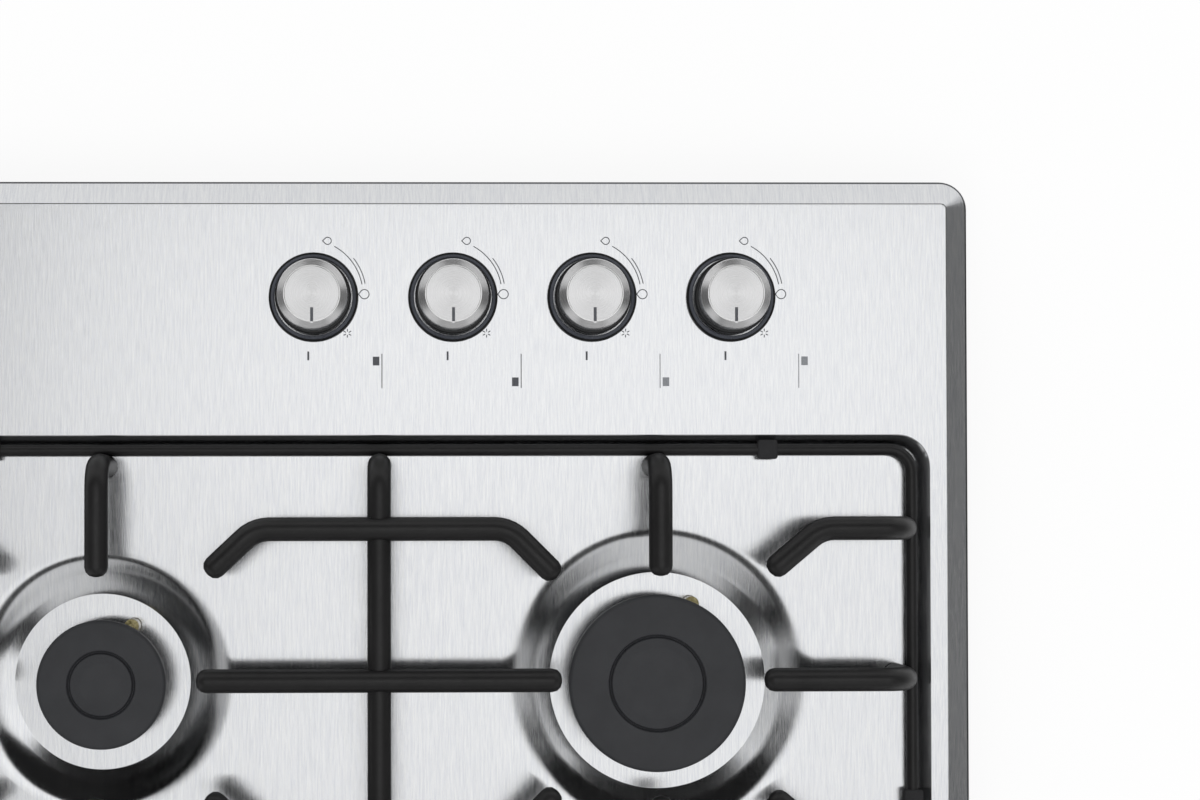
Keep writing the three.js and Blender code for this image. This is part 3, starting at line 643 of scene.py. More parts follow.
class CooktopSupportSizes(bpy.types.PropertyGroup):
    ring_rod: length("Ring rod", "Radius of the ring's wire", 2.5)
    finger_rod: length("Finger rod", "Radius of the fingers' wire", 5)
    ring_corner: length("Ring corner", "Radius of the ring's corners", 10)
    elbow: length("Elbow", "Radius where a leg turns into a finger", 10)
    plan_bend: length("Bend", "Radius where a finger turns in to its burner", 15)
    tip: length("Tip", "Rounding of the finger tips", 4.2)
    cross_drop: length("Centre bar drop", "Centre bar below the bars welded across it", 2.5)


class CooktopBurnerSizes(bpy.types.PropertyGroup):
    cap_edge: length("Cap edge", "Rounding of the cap's upper edge", 1.6)
    groove_width: length("Groove width", "Width of the ring pressed in each cap", 1.7)
    groove_depth: length("Groove depth", "Depth of the ring pressed in each cap", 2)
    slot_width: length("Flame slot", "Width of the flame slots", 1.7)


class CooktopKnobSizes(bpy.types.PropertyGroup):
    foot: length("Foot", "Radius of the black foot", 16.3)
    cup: length("Cup", "Radius of the chromed cup", 15)
    face: length("Face", "Radius of the turned face", 12.1)
    bezel: length("Bezel", "Radius of the bezel's skirt", 19.3)
    bezel_ring: length("Bezel ring", "Radius of the bezel's grey ring", 18.3)
    pointer_length: length("Pointer length", "Length of the pointer line", 6.2)
    pointer_width: length("Pointer width", "Width of the pointer line", 1.3)


class CooktopFinish(bpy.types.PropertyGroup):
    steel_roughness: share("Steel roughness", "How far the brushing blurs reflections", 0.17)
    shadow: share("Floor shadow", "How much of the object's shadow the floor shows", 0.12)
    ink: length("Ink", "Thickness of the printed marks", 0.03)


# ---- Top plate ---------------------------------------------------------------------------------


# Burner places, by size: cap, crown, throat, dish, dish floor and groove radii, and flame slots
BURNER_KINDS = {
    "rapid": {"cap": 47.5, "crown": 42.7, "bore": 22, "throat": 28, "dish": 72, "floor": 56,
              "groove": 25, "slots": 36},
    "semi": {"cap": 37.8, "crown": 33, "bore": 17, "throat": 22, "dish": 65, "floor": 46.9,
             "groove": 19.2, "slots": 28},
    "auxiliary": {"cap": 27.5, "crown": 22.8, "bore": 11, "throat": 15.5, "dish": 53.8,
                  "floor": 38, "groove": 13, "slots": 20},
}
BURNER_KIND = {"rear_right": "auxiliary", "rear_left": "semi", "front_left": "rapid",
               "front_right": "semi"}
ELECTRODE_RADIUS = 3.1 * MM
# Run, rise and rounding of a dish's foot, and the rounding of its brim
DISH_FOOT = (7 * MM, 1.68 * MM, 40 * MM)
DISH_BRIM = 30 * MM
# The dishes are pressed this far nearer the plate's front or rear edge than the burners' axes
DISH_SHIFT = 2 * MM


def kind_of(place):
    """A burner's sizes in metres."""
    sizes = BURNER_KINDS[BURNER_KIND[place]]
    return {key: value if key == "slots" else value * MM for key, value in sizes.items()}


class CooktopTopPlate(bpy.types.Operator):
    """Models the pressed steel plate with its well, burner seats and holes"""

    bl_idname = "cooktop.top_plate"
    bl_label = "Top Plate"

    def execute(self, context):
        plate = context.scene.cooktop_plate
        floor_z = plate.top - plate.well_depth
        dish_z = floor_z - plate.dish_depth
        flat = 1.5 * MM
        run, rise, rounding = DISH_FOOT
        skin = plate_face("skin", (0, 0), (plate.width, plate.depth), plate.corner, plate.rim,
                          plate.corner_steps)
        stepped_in(skin, eased([
            (0, plate.rim), (0, plate.rim + plate.lip, 1.3 * MM),
            (plate.bevel, plate.top, 1.2 * MM), (plate.bevel + flat, plate.top)]))
        left = plate.well_margin - plate.width / 2
        right = plate.width / 2 - plate.control_strip
        well_size = (right - left, plate.depth - 2 * plate.well_margin)
        wall = plate_face("well_wall", ((left + right) / 2, 0), [s + 2 * flat for s in well_size],
                          plate.well_corner + flat, plate.top, plate.corner_steps)
        stepped_in(wall, eased([
            (0, plate.top), (flat, plate.top, 0.7 * MM),
            (flat + plate.well_wall, floor_z, 0.8 * MM),
            (2 * flat + plate.well_wall, floor_z)]))
        parts = [skin, wall]
        for name in BURNERS:
            sizes = kind_of(name)
            spot = middle_of("burner_cap_" + name).xy
            foot = sizes["floor"]
            dish_shift = DISH_SHIFT if name.startswith("rear") else -DISH_SHIFT
            parts.append(turned("dish", spot + Vector((0, dish_shift)), eased([
                (sizes["dish"] + 8 * MM, floor_z), (sizes["dish"] - 0.5 * MM, floor_z, DISH_BRIM),
                (foot + run, dish_z + rise, rounding), (foot, dish_z, 0.8 * MM),
                (foot - flat, dish_z)], steps=8), segments=96, open_ends=True))
            for ring, radius in ((spot, sizes["throat"]),
                                 (middle_of("electrode_" + name).xy, ELECTRODE_RADIUS + 0.3 * MM)):
                parts.append(primitive("circle", "hole", vertices=48, radius=radius,
                                       location=(*ring, dish_z)))
            knob = middle_of("tap_spindle_" + name).xy
            parts.append(primitive("circle", "hole", vertices=32, radius=plate.spindle_hole,
                                   location=(*knob, plate.top)))
        for part in parts:
            settle(part)
        sheet = joined("steel_plate", parts)
        settle(sheet)
        with editing(sheet):
            filled_level(sheet, plate.top)
            filled_level(sheet, floor_z)
            for name in BURNERS:
                spot = middle_of("burner_cap_" + name).xy
                reach = kind_of(name)["floor"] + 2 * DISH_SHIFT
                filled_level(sheet, dish_z, lambda co: (co.xy - spot).length < reach)
            merged_and_turned_out()
            upward = bmesh.from_edit_mesh(sheet.data)
            total = sum(face.normal.z * face.calc_area() for face in upward.faces)
            if total < 0:
                bpy.ops.mesh.flip_normals()
        modified(sheet, "SOLIDIFY", thickness=plate.sheet, offset=-1.0, use_even_offset=True)
        finished(sheet, finish("brushed_steel"), "root", "brushed_steel", "top_plate", angle=28)
        return {"FINISHED"}


# ---- Pan supports ------------------------------------------------------------------------------

# A support in its own frame, in millimetres: half length and width of its ring, burner row, straight
# bars and bent bars to its middle, and the fingers' places by the burner's axis
SUPPORT = {"half_length": 229.6, "half_width": 108, "burner": 8.1, "straight": 10.6, "bent": 9.1,
           "axis": 118.2, "side_tip": 43.4, "inner_side_tip": 41.6, "cross_tip": 46.1,
           "bent_bar": 65, "inner_tip_x": 44.8, "inner_tip_y": 43.5, "inner_bend": 63.7,
           "rear_tip_x": 46.3, "rear_tip_y": 46.3, "rear_bend": 66.2, "outer_tip_x": 46.6,
           "outer_tip_y": 45.8, "outer_bend": 67.6}
WELD_SINK = 0.6 * MM
RING_Z = 49 * MM
FINGER_Z = 78 * MM
LEG_FOOT_Z = 46.6 * MM


class CooktopPanSupports(bpy.types.Operator):
    """Models the two enamelled wire supports and their rubber feet"""

    bl_idname = "cooktop.pan_supports"
    bl_label = "Pan Supports"

    def rods(self, sizes):
        """Every rod of one support, about the support's middle."""
        at = {key: value * MM for key, value in SUPPORT.items()}
        leg_x = at["half_width"] - sizes.ring_rod - sizes.finger_rod + WELD_SINK
        leg_y = at["half_length"] - sizes.ring_rod - sizes.finger_rod + WELD_SINK
        elbow, bend, tip = sizes.elbow, sizes.plan_bend, sizes.tip
        made = []

        def finger(bends, *corners, start_tip=0.0, end_tip=0.0):
            made.append(rod("finger", corners, bends, sizes.finger_rod, start_tip, end_tip))

        centre_z = FINGER_Z - sizes.cross_drop
        finger([elbow, elbow], (leg_x, 0, LEG_FOOT_Z), (leg_x, 0, centre_z),
               (-leg_x, 0, centre_z), (-leg_x, 0, LEG_FOOT_Z))
        x = at["straight"]
        reach = at["axis"] - at["inner_side_tip"]
        finger([], (x, -reach, FINGER_Z), (x, reach, FINGER_Z), start_tip=tip, end_tip=tip)
        for sx in (1, -1):
            bar_x = at["bent"] + sx * at["bent_bar"]
            tip_x = at["bent"] + sx * at["inner_tip_x"]
            tip_y, bar_y = at["axis"] - at["inner_tip_y"], at["axis"] - at["inner_bend"]
            rear_y, rear_bar_y = at["axis"] - at["rear_tip_y"], at["axis"] - at["rear_bend"]
            finger([bend, bend], (tip_x, -tip_y, FINGER_Z), (bar_x, -bar_y, FINGER_Z),
                   (bar_x, rear_bar_y, FINGER_Z),
                   (at["bent"] + sx * at["rear_tip_x"], rear_y, FINGER_Z), start_tip=tip,
                   end_tip=tip)
            for sy in (1, -1):
                y = sy * at["axis"]
                finger([elbow], (sx * leg_x, y, LEG_FOOT_Z), (sx * leg_x, y, FINGER_Z),
                       (at["burner"] + sx * at["cross_tip"], y, FINGER_Z), end_tip=tip)
                finger([elbow, bend], (bar_x, sy * leg_y, LEG_FOOT_Z), (bar_x, sy * leg_y, FINGER_Z),
                       (bar_x, sy * (at["axis"] + at["outer_bend"]), FINGER_Z),
                       (at["bent"] + sx * at["outer_tip_x"],
                        sy * (at["axis"] + at["outer_tip_y"]), FINGER_Z), end_tip=tip)
        for sy in (1, -1):
            finger([elbow], (x, sy * leg_y, LEG_FOOT_Z), (x, sy * leg_y, FINGER_Z),
                   (x, sy * (at["axis"] + at["side_tip"]), FINGER_Z), end_tip=tip)
        return made

    def ring(self, sizes):
        """The wire ring that the legs are welded to, spun from one section round its corners."""
        half_x, half_y = SUPPORT["half_width"] * MM, SUPPORT["half_length"] * MM
        corner = sizes.ring_corner
        piece = primitive("circle", "ring", vertices=20, radius=sizes.ring_rod,
                          location=(half_x, 0, RING_Z), rotation=(math.radians(90), 0, 0))
        straights = [half_y - corner, 2 * (half_x - corner), 2 * (half_y - corner),
                     2 * (half_x - corner), half_y - corner]
        heading, here = Vector((0, 1, 0)), Vector((half_x, 0, RING_Z))
        with editing(piece):
            bpy.ops.mesh.select_all(action="SELECT")
            for i, run in enumerate(straights):
                bpy.ops.mesh.extrude_region_move(TRANSFORM_OT_translate={"value": heading * run})
                here = here + heading * run
                if i == len(straights) - 1:
                    break
                side = Vector((-heading.y, heading.x, 0))
                centre = here + side * corner
                bpy.ops.mesh.spin(steps=8, angle=-FULL_TURN / 4, center=centre, axis=(0, 0, 1))
                here = centre + heading * corner
                heading = side
        return cleaned(piece)

    def foot(self):
        """A rubber block narrow at its foot, with round edges, about the ring wire's middle."""
        block = box_at("foot", (9 * MM, 9 * MM, 7 * MM), (0, 0, -0.2 * MM))
        with editing(block):
            pick(block, "FACE", lambda face: face.normal.z < -0.5)
            bpy.ops.transform.resize(value=(0.52, 0.9, 1), center_override=(0, 0, -3.7 * MM))
            bpy.ops.mesh.select_mode(type="EDGE")
            bpy.ops.mesh.select_all(action="SELECT")
            bpy.ops.mesh.bevel(offset=1.3 * MM, segments=4, affect="EDGES")
        bore = rod("bore", [(0, -8 * MM, 0), (0, 8 * MM, 0)], [], 2.65 * MM)
        return combined(block, bore)

    def execute(self, context):
        sizes = context.scene.cooktop_support
        bare = joined("support_wires", self.rods(sizes))
        combined(bare, self.ring(sizes), "UNION", use_self=True)
        cleaned(bare)
        foot = self.foot()
        for side in SIDES:
            node = "pan_support_" + side
            middle = middle_of(node)
            support = copied(bare, "wire_support_" + side, (0, 0, 0))
            support.rotation_euler.z = 0 if side == "right" else math.pi
            support.location = (middle.x, middle.y, 0)
            settle(support)
            finished(support, finish("black_enamel"), "support_" + side, "black_enamel", node,
                     angle=35)
            for number in (1, 2, 3, 4):
                node = f"foot_{side}_{number}"
                low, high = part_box(node)
                block = copied(foot, f"rubber_foot_{side}_{number}", (0, 0, 0))
                block.rotation_euler.z = math.radians(90) if high.x - low.x > high.y - low.y else 0
                block.location = (*((low + high) / 2).xy, RING_Z)
                settle(block)
                finished(block, finish("black_rubber"), "support_" + side, "black_rubber", node,
                         angle=40)
        bpy.data.objects.remove(bare)
        bpy.data.objects.remove(foot)
        return {"FINISHED"}


# ---- Burners -----------------------------------------------------------------------------------


class CooktopBurnerCaps(bpy.types.Operator):
    """Models the enamelled caps with their pressed rings"""

    bl_idname = "cooktop.burner_caps"
    bl_label = "Burner Caps"

    def execute(self, context):
        shape = context.scene.cooktop_burner
        for name, node, spot, low, top in burner_nodes("burner_cap_"):
            sizes = kind_of(name)
            cap, groove, wide = sizes["cap"], sizes["groove"], shape.groove_width
            rest = low + 1.5 * MM
            plug = sizes["crown"] - 8 * MM
            base = top - shape.groove_depth
            piece = turned("enamelled_cap_" + name, spot, eased([
                (0.5 * MM, low), (plug, low, 0.3 * MM), (plug, rest, 0.3 * MM),
                (cap, rest, 0.6 * MM), (cap, top, shape.cap_edge),
                (groove + wide, top, 0.35 * MM), (groove + wide / 2, base, 0.3 * MM),
                (groove, top - 0.35 * MM, 0.3 * MM), (groove - 4 * MM, top, 5 * MM),
                (0.5 * MM, top)]),
                segments=96)
            finished(piece, finish("cap_enamel"), "cap_" + name, "grey_enamel", node)
        return {"FINISHED"}


class CooktopBurnerCrowns(bpy.types.Operator):
    """Models the cast flame spreaders with their slots"""

    bl_idname = "cooktop.burner_crowns"
    bl_label = "Burner Crowns"

    def execute(self, context):
        shape = context.scene.cooktop_burner
        for name, node, spot, low, top in burner_nodes("burner_crown_"):
            sizes = kind_of(name)
            foot = low + 6 * MM
            bore, crown = sizes["bore"], sizes["crown"]
            wall = crown - 7 * MM
            base = sizes["throat"] + 4 * MM
            body = turned("cast_crown_" + name, spot, eased([
                (bore - 3 * MM, low), (bore - 0.4 * MM, low, 0.3 * MM), (bore - 0.4 * MM, foot),
                (base, foot, 0.5 * MM), (base, foot + 2.5 * MM, 0.8 * MM),
                (crown, foot + 7 * MM, 1.2 * MM), (crown, top, 0.4 * MM), (wall, top, 0.4 * MM),
                (wall, top - 6 * MM, 1 * MM), (bore - 3 * MM, foot + 5 * MM)]),
                segments=96, closed=True)
            cutters = []
            reach = crown - 3 * MM
            for i in range(sizes["slots"]):
                turn = (i + 0.5) * FULL_TURN / sizes["slots"]
                cutters.append(box_at("slot", (12 * MM, shape.slot_width, 6.4 * MM), (
                    spot.x + reach * math.cos(turn), spot.y + reach * math.sin(turn),
                    top - 1.2 * MM), turn))
            combined(body, joined("slots", cutters))
            finished(body, finish("cast_aluminium"), "crown_" + name, "cast_aluminium", node)
        return {"FINISHED"}


class CooktopElectrodes(bpy.types.Operator):
    """Models the spark electrodes: a glazed ceramic rod with a metal cap and pin"""

    bl_idname = "cooktop.electrodes"
    bl_label = "Electrodes"

    def execute(self, context):
        r = ELECTRODE_RADIUS
        for name, node, spot, low, high in burner_nodes("electrode_"):
            shoulder = high - 4 * MM
            seat = low + 11 * MM
            ceramic = turned("ceramic_" + name, spot, eased([
                (1.2 * MM, low), (r - 0.5 * MM, low + 4 * MM, 1 * MM), (r, seat),
                (r + 2 * MM, seat, 0.4 * MM), (r + 2 * MM, seat + 2.7 * MM, 0.4 * MM),
                (r, seat + 2.7 * MM), (r, shoulder, 0.6 * MM), (1 * MM, shoulder)]), segments=40)
            finished(ceramic, finish("glazed_ceramic"), "root", "ceramic", node)
            tip = turned("spark_tip_" + name, spot, eased([
                (1 * MM, shoulder), (r, shoulder, 0.3 * MM), (r, high - 1.6 * MM, 0.7 * MM),
                (1.1 * MM, high - 1.3 * MM, 0.3 * MM), (1.1 * MM, high, 0.5 * MM),
                (0.2 * MM, high)]), segments=40)
            finished(tip, finish("heat_tinted_tip"), "root", "ceramic", node)
        return {"FINISHED"}


# ---- Knobs -------------------------------------------------------------------------------------


class CooktopKnobs(bpy.types.Operator):
    """Models the knobs: a chromed cup on a black foot, with a pointer line in its face"""

    bl_idname = "cooktop.knobs"
    bl_label = "Knobs"

    def execute(self, context):
        sizes = context.scene.cooktop_knob
        for name, node, spot, low, top in burner_nodes("knob_"):
            body = "knob_unit_" + name
            collar = low + 2.8 * MM
            foot = turned("knob_foot_" + name, spot, eased([
                (13 * MM, low), (sizes.foot, low, 0.5 * MM), (sizes.foot, collar, 0.8 * MM),
                (sizes.cup - 0.6 * MM, collar), (sizes.cup - 0.6 * MM, collar + 1 * MM),
                (13 * MM, collar + 1 * MM)]), closed=True)
            finished(foot, finish("moulded_black"), body, "black_plastic", node)
            cup = turned("knob_cup_" + name, spot, eased([
                (6 * MM, collar + 0.5 * MM), (sizes.cup, collar + 0.5 * MM, 0.3 * MM),
                (sizes.cup, top - 2.25 * MM, 0.9 * MM), (sizes.face, top, 0.25 * MM),
                (sizes.face - 0.4 * MM, top), (sizes.face - 0.6 * MM, top - 0.1 * MM),
                (2 * MM, top - 0.1 * MM)], steps=5), segments=96)
            middle_x = spot.x - sizes.face + sizes.pointer_length / 2
            combined(cup, box_at("pointer_tool", (
                sizes.pointer_length + 0.6 * MM, sizes.pointer_width, 0.8 * MM), (
                middle_x - 0.3 * MM, spot.y, top)))
            metal = spun_metal("turned_chrome_" + name, (spot.x, spot.y, 0),
                               sizes.face - 0.3 * MM)
            finished(cup, metal, body, "chromed_cup", node, angle=25)
            line = box_at("knob_pointer_" + name, (
                sizes.pointer_length - 0.3 * MM, sizes.pointer_width - 0.05 * MM, 0.25 * MM), (
                middle_x + 0.1 * MM, spot.y, top - 0.25 * MM))
            modified(line, "BEVEL", width=0.05 * MM, segments=2)
            finished(line, finish("printed_ink"), body, "black_plastic", node)
        return {"FINISHED"}


class CooktopBezels(bpy.types.Operator):
    """Models the bezels that the knobs stand in"""

    bl_idname = "cooktop.bezels"
    bl_label = "Bezels"

    def execute(self, context):
        sizes = context.scene.cooktop_knob
        inner = sizes.foot + 0.5 * MM
        seat = sizes.bezel_ring + 0.1 * MM
        for name, node, spot, low, high in burner_nodes("knob_bezel_"):
            skirt = turned("bezel_skirt_" + name, spot, eased([
                (inner + 0.6 * MM, low), (sizes.bezel, low),
                (sizes.bezel, high - 1.7 * MM, 0.5 * MM), (seat, high - 1.1 * MM, 0.2 * MM),
                (seat, high - 2.2 * MM), (inner + 0.6 * MM, high - 2.2 * MM)]),
                segments=96, closed=True)
            finished(skirt, finish("moulded_black"), "root", "black_plastic", node)
            ring = turned("bezel_ring_" + name, spot, eased([
                (inner, low + 0.3 * MM), (inner + 0.6 * MM, low + 0.3 * MM),
                (inner + 0.6 * MM, high - 2.2 * MM), (sizes.bezel_ring, high - 2.2 * MM),
                (sizes.bezel_ring, high - 0.9 * MM, 0.2 * MM), (inner + 0.5 * MM, high, 0.2 * MM),
                (inner, high - 0.2 * MM)]), segments=96, closed=True)
            combined(ring, box_at("notch", (0.9 * MM, 0.5 * MM, 1.4 * MM), (
                spot.x - sizes.bezel_ring + 0.7 * MM, spot.y, high)))
            finished(ring, finish("bezel_lacquer"), "root", "black_plastic", node)
        return {"FINISHED"}


# ---- Printed marks -----------------------------------------------------------------------------


# In millimetres: the printed marks' middle from the knob's, and each mark about that middle
PRINT_SHIFT = (1.35, 2.3)
MARK_LINE = 0.4
FLAMES = {"large": {"reach": 24.2, "bearing": 0, "round": 2.2, "tip": 2.75},
          "small": {"reach": 24.5, "bearing": 70, "round": 1.75, "tip": 2.5}}
ARCS = ((23.5, 10.5, 61.5), (24.9, 10.5, 38.5))
SPARK = {"reach": 23.8, "bearing": -45, "inner": 0.7, "outer": 1.9}
OFF_MARK = {"reach": 26.6, "length": 3.8, "width": 0.85}
# Place marks: a line beside the knob with a square at the burner's corner of it
PLACE_LINE = {"x": (-39.2, -24.4), "y": -29.4, "width": 0.4}
PLACE_SQUARE = {"size": (3.8, 2.85), "gap": 0.9, "right_inset": 1.2, "left_inset": 0.8}


def point_at(middle, reach, bearing):
    """A place by its reach and its bearing, from the front edge's direction to the right edge's."""
    turn = math.radians(bearing)
    return Vector((middle[0] + reach * math.sin(turn), middle[1] - reach * math.cos(turn)))


def arc_points(middle, radius, start, end, steps):
    return [point_at(middle, radius, start + (end - start) * i / steps) for i in range(steps + 1)]


def film(name, points, outline=0.0):
    """Draws a flat shape on the plate point by point, and gives it the ink's thickness. An
    outline width leaves only its edge."""
    top = bpy.context.scene.cooktop_plate.top
    piece = primitive("plane", name, size=MM, location=(*(points[0] * MM), top))
    with editing(piece):
        bpy.ops.mesh.select_all(action="SELECT")
        bpy.ops.mesh.merge(type="CENTER")
        for here, ahead in zip(points, points[1:]):
            step = (ahead - here) * MM
            bpy.ops.mesh.extrude_vertices_move(TRANSFORM_OT_translate={"value": (*step, 0)})
        bpy.ops.mesh.select_all(action="SELECT")
        bpy.ops.mesh.edge_face_add()
        bpy.ops.mesh.select_mode(type="FACE")
        if outline:
            bpy.ops.mesh.inset(thickness=outline * MM)
            bpy.ops.mesh.delete(type="FACE")
            bpy.ops.mesh.select_all(action="SELECT")
        bpy.ops.mesh.extrude_region_move(TRANSFORM_OT_translate={
            "value": (0, 0, bpy.context.scene.cooktop_finish.ink)})
    return cleaned(piece)


class CooktopPrintedMarks(bpy.types.Operator):
    """Models the marks printed round the knobs: off, spark, large and small flame, and place"""

    bl_idname = "cooktop.printed_marks"
    bl_label = "Printed Marks"

    def knob_marks(self, middle):
        half = MARK_LINE / 2
        marks = []
        for flame in FLAMES.values():
            spot = point_at(middle, flame["reach"], flame["bearing"])
            open_half = math.degrees(math.acos(flame["round"] / flame["tip"]))
            bulb = arc_points(spot, flame["round"], open_half - 180, 180 - open_half, 22)
            marks.append(film("flame", [*bulb, spot + Vector((0, flame["tip"]))], MARK_LINE))
        for radius, start, end in ARCS:
            there = arc_points(middle, radius + half, start, end, 14)
            back = arc_points(middle, radius - half, end, start, 14)
            marks.append(film("arc", there + back))
        spot = point_at(middle, SPARK["reach"], SPARK["bearing"])
        for turn in range(30, 390, 60):
            ray = Vector((math.sin(math.radians(turn)), math.cos(math.radians(turn))))
            side = Vector((-ray.y, ray.x)) * half
            near, far = spot + ray * SPARK["inner"], spot + ray * SPARK["outer"]
            marks.append(film("ray", [near - side, far - side, far + side, near + side]))
        return marks

    def bar(self, low, high):
        """A printed rectangle between two corners."""
        corners = [low, (high[0], low[1]), high, (low[0], high[1])]
        return film("bar", [Vector(corner) for corner in corners])

    def execute(self, context):
        for name in BURNERS:
            knob = middle_of("tap_spindle_" + name).xy / MM
            middle = knob + Vector(PRINT_SHIFT)
            marks = self.knob_marks(middle)
            half_off = OFF_MARK["width"] / 2
            off_x = middle.x - OFF_MARK["reach"]
            marks.append(self.bar((off_x - OFF_MARK["length"] / 2, middle.y - half_off),
                                  (off_x + OFF_MARK["length"] / 2, middle.y + half_off)))
            finished(joined("printed_marks_" + name, marks), finish("printed_ink"), "root",
                     "grey_enamel")
            (start, end), line_y = PLACE_LINE["x"], knob.y + PLACE_LINE["y"]
            half_line = PLACE_LINE["width"] / 2
            rear, right = name.startswith("rear"), name.endswith("right")
            long_side, wide_side = PLACE_SQUARE["size"]
            square_x = knob.x + (end - PLACE_SQUARE["right_inset"] - long_side if right
                                 else start + PLACE_SQUARE["left_inset"])
            beside = half_line + PLACE_SQUARE["gap"]
            square_y = line_y + beside if rear else line_y - beside - wide_side
            place = [self.bar((knob.x + start, line_y - half_line),
                              (knob.x + end, line_y + half_line)),
                     self.bar((square_x, square_y), (square_x + long_side, square_y + wide_side))]
            finished(joined("place_mark_" + name, place),
                     finish("printed_ink" if rear else "pale_printed_ink"), "root", "grey_enamel")
        return {"FINISHED"}


# ---- Carried-over CAD nodes --------------------------------------------------------------------


class CooktopUnderside(bpy.types.Operator):
    """Gives the tray, seal, clamps, gas rail, taps, tubes and ignition their finishes"""

    bl_idname = "cooktop.underside"
    bl_label = "Underside"

    def execute(self, context):
        looks = (
            ("bottom_tray", "zinc_coat"), ("worktop_clamp", "zinc_coat"), ("gas_rail", "zinc_coat"),
            ("worktop_seal", "sealing_foam"), ("spark_module", "moulded_black"),
            ("cable_gland", "moulded_black"), ("burner_cup", "cast_aluminium"),
            ("feed_tube", "drawn_aluminium"), ("tap_", "turned_brass"))
        for start, look in looks:
            for name in nodes_named(start):
                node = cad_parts[name]
                node.data.materials.clear()
                node.data.materials.append(finish(look))
        return {"FINISHED"}


# ---- Stage -------------------------------------------------------------------------------------


class CooktopStage(bpy.types.Operator):
    """Sets the floor, the light tent, the lamps and the camera"""

    bl_idname = "cooktop.stage"
    bl_label = "Stage"

    def floor(self, context):
        floor = settle(primitive("plane", "floor", size=12, location=(0, 0, -0.2 * MM)))
        material, tree, shader = new_material("pale_floor", "FFFFFF", roughness=1.0)
        path = add_node(tree, "ShaderNodeLightPath")
        glow = add_node(tree, "ShaderNodeEmission", {"Color": WHITE, "Strength": 1.0})
        mix = add_node(tree, "ShaderNodeMixShader", {
            0: 1.0 - context.scene.cooktop_finish.shadow, 1: shader.outputs[0], 2: glow.outputs[0]})
        seen = add_node(tree, "ShaderNodeMixShader", {
            0: path.outputs["Is Camera Ray"], 1: shader.outputs[0], 2: mix.outputs[0]})
        output = next(n for n in tree.nodes if n.type == "OUTPUT_MATERIAL")
        tree.links.new(seen.outputs[0], output.inputs["Surface"])
        floor.data.materials.append(material)

    def tent(self, context):
        """A light tent that only reflections see: bright overhead between dark flags, as a steel
        plate is lit to show its form."""
        tent = settle(primitive("uv_sphere", "light_tent", segments=96, ring_count=48, radius=5))
        bpy.ops.object.shade_smooth()
        material = bpy.data.materials.new("light_tent")
        tree = cleared(material)
        way = vector(tree, "NORMALIZE", object_place(tree))
        axes = add_node(tree, "ShaderNodeSeparateXYZ", {0: way}).outputs

        def strip(axis, stops):
            """Grey against the lean from overhead along an axis, in degrees."""
            angle = calculated(tree, "ARCTAN2", axes[axis], axes["Z"])
            lean = ranged(tree, angle, -math.pi / 2, math.pi / 2)
            ramp = add_node(tree, "ShaderNodeValToRGB", {0: lean})
            elements = ramp.color_ramp.elements
            while len(elements) < len(stops):
                elements.new(0.5)
            for element, (degrees, grey) in zip(elements, stops):
                element.position = degrees / 180 + 0.5
                element.color = (grey, grey, grey, 1)
            return ramp.outputs[0]

        left_to_right = strip("X", [
            (-90, 0.03), (-79, 0.03), (-76, 0.66), (-67, 0.66), (-64, 0.05), (-46, 0.05),
            (-43, 0.6), (-23, 0.6), (-20.5, 0.04),
            (-12.5, 0.04), (-10.5, 0.93), (2, 0.93), (4, 1), (13, 1), (14.5, 0.01), (44, 0.01),
            (50, 0.82), (64, 0.78), (70, 0.12), (90, 0.05)])
        front_to_rear = strip("Y", [
            (-90, 0.5), (-87, 0.3), (-84, 0.07), (-70, 0.22), (-64, 0.1), (-50, 0.12),
            (-36, 0.03), (-28, 0.03), (-25, 1), (13.5, 1), (16, 0.03), (29, 0.03), (60, 0.1),
            (75, 0.13), (83, 0.15), (87, 0.5), (90, 0.5)])
        panel_width = strip("X", [(-18, 0), (-11, 1), (2, 1), (9, 0)])
        panel_height = strip("Y", [(-55, 0), (-48, 0.4), (-30, 0.4), (-28, 0), (16, 0), (18, 0.36),
                                   (44, 0.36), (50, 0)])
        level = vector(tree, "NORMALIZE", vector(tree, "MULTIPLY", way, (1, 1, 0)))
        bearing = add_node(tree, "ShaderNodeSeparateXYZ", {0: level}).outputs
        # The strip along Y holds overhead and towards the front and the rear, where the strip along
        # X gives way low down, and it fades out low down on the diagonals.
        facing = ranged(tree, calculated(tree, "ABSOLUTE", bearing["X"]), 0.4, 0.6, 1.0, 0.0)
        overhead = ranged(tree, axes["Z"], 0.62, 0.72)
        holding = calculated(tree, "MAXIMUM", facing, overhead)
        low = calculated(tree, "SUBTRACT", 1.0, overhead)
        giving_way = calculated(tree, "MULTIPLY", facing, low)
        sideways = mixed(tree, giving_way, left_to_right, WHITE)
        grey = mixed(tree, holding, sideways, front_to_rear, "MULTIPLY")
        # Two dim panels, low at the front and the rear, grey the sides of the dishes.
        panels = mixed(tree, 1.0, panel_width, panel_height, "MULTIPLY")
        grey = mixed(tree, 1.0, grey, panels, "LIGHTEN")
        # Four panels low in the tent's corners light the plate when it is seen from the side.
        corner_stops = [(-84, 0), (-78, 0.8), (-50, 0.8), (-43, 0), (43, 0), (50, 0.8), (78, 0.8),
                        (84, 0)]
        corners = mixed(tree, 1.0, strip("X", corner_stops), strip("Y", corner_stops), "MULTIPLY")
        grey = mixed(tree, 1.0, grey, corners, "LIGHTEN")
        glow = add_node(tree, "ShaderNodeEmission", {"Color": grey, "Strength": 0.97})
        add_node(tree, "ShaderNodeOutputMaterial", {"Surface": glow.outputs[0]})
        tent.data.materials.append(material)
        for kind in ("camera", "diffuse", "transmission", "volume_scatter", "shadow"):
            setattr(tent, "visible_" + kind, False)

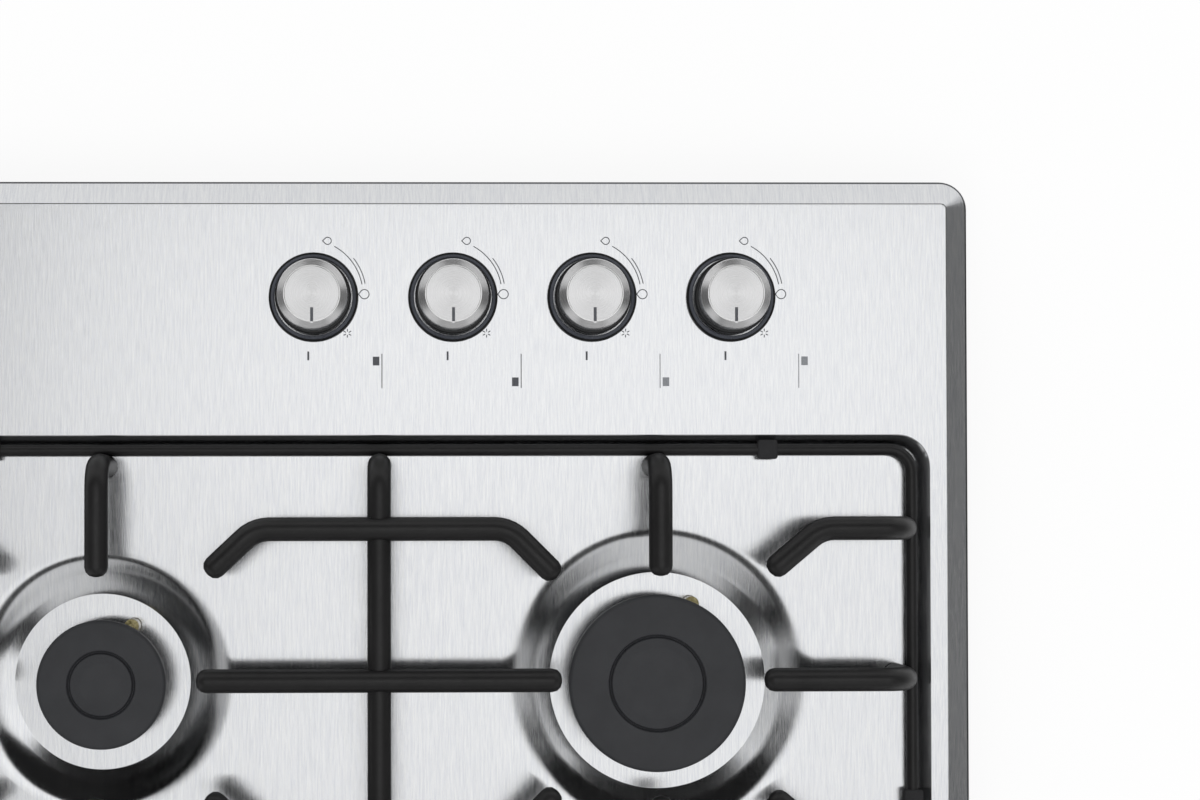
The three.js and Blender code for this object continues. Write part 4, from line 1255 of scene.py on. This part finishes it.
    def world(self, context):
        """White where the camera, glass or metal sees past everything, and an even sky for the
        rest."""
        world = bpy.data.worlds.new("studio")
        context.scene.world = world
        tree = cleared(world)
        path = add_node(tree, "ShaderNodeLightPath").outputs
        seen = calculated(tree, "MAXIMUM", path["Is Camera Ray"], path["Is Glossy Ray"])
        through = calculated(tree, "MAXIMUM", seen, path["Is Transmission Ray"])
        strength = ranged(tree, through, 0.0, 1.0, 0.75, 1.0)
        glow = add_node(tree, "ShaderNodeBackground", {"Color": WHITE, "Strength": strength})
        add_node(tree, "ShaderNodeOutputWorld", {"Surface": glow.outputs[0]})

    def lamp(self, context):
        """One broad soft lamp overhead, a little to the left."""
        bpy.ops.object.select_all(action="DESELECT")
        bpy.ops.object.light_add(type="AREA", location=(-0.5, 0.2, 2.0))
        lamp = bpy.context.object
        lamp.name = "overhead_lamp"
        lamp.data.shape = "DISK"
        lamp.data.size = 1.2
        lamp.data.energy = 12
        lamp.rotation_euler = (-lamp.location).to_track_quat("-Z", "Y").to_euler()
        lamp.visible_glossy = False

    def camera(self, context):
        bpy.ops.object.select_all(action="DESELECT")
        bpy.ops.object.camera_add(location=(0.14558, -0.01614, 1.1))
        camera = bpy.context.object
        camera.name = "photo_camera"
        right = Vector((-0.00173, -0.99985, 0.01701)).normalized()
        forward = Vector((0.01549, -0.01704, -0.99973)).normalized()
        up = right.cross(forward).normalized()
        camera.rotation_mode = "QUATERNION"
        camera.rotation_quaternion = Matrix((right, up, -forward)).transposed().to_quaternion()
        camera.data.sensor_width = 36
        camera.data.lens = 73.154
        camera.data.shift_x = 0.11747
        camera.data.shift_y = 0.06445
        camera.data.clip_start = 0.05
        camera.data.clip_end = 50
        context.scene.camera = camera

    def execute(self, context):
        for build in (self.floor, self.tent, self.world, self.lamp, self.camera):
            build(context)
        context.scene.view_settings.view_transform = "Standard"
        return {"FINISHED"}


# ---- Panel and registration --------------------------------------------------------------------


STEPS = (CooktopStage, CooktopTopPlate, CooktopPanSupports, CooktopBurnerCaps,
         CooktopBurnerCrowns, CooktopElectrodes, CooktopKnobs, CooktopBezels, CooktopPrintedMarks,
         CooktopUnderside)
SETTINGS = {"cooktop_plate": CooktopPlateSizes, "cooktop_support": CooktopSupportSizes,
            "cooktop_burner": CooktopBurnerSizes, "cooktop_knob": CooktopKnobSizes,
            "cooktop_finish": CooktopFinish}


class CooktopPanel(bpy.types.Panel):
    """Lists the cooktop's pieces and sizes"""

    bl_idname = "VIEW3D_PT_cooktop"
    bl_label = "Gas Cooktop"
    bl_space_type = "VIEW_3D"
    bl_region_type = "UI"
    bl_category = "Cooktop"

    def draw(self, context):
        for step in STEPS:
            self.layout.operator(step.bl_idname)
        for name, group in SETTINGS.items():
            box = self.layout.box()
            for key in group.__annotations__:
                box.prop(getattr(context.scene, name), key)


def register():
    for cls in (*SETTINGS.values(), *STEPS, CooktopPanel):
        bpy.utils.register_class(cls)
    for name, group in SETTINGS.items():
        setattr(bpy.types.Scene, name, bpy.props.PointerProperty(type=group))


def unregister():
    for name in SETTINGS:
        delattr(bpy.types.Scene, name)
    for cls in reversed((*SETTINGS.values(), *STEPS, CooktopPanel)):
        bpy.utils.unregister_class(cls)


def main():
    register()
    for step in STEPS:
        group, call = step.bl_idname.split(".")
        getattr(getattr(bpy.ops, group), call)()


if __name__ == "__main__":
    main()
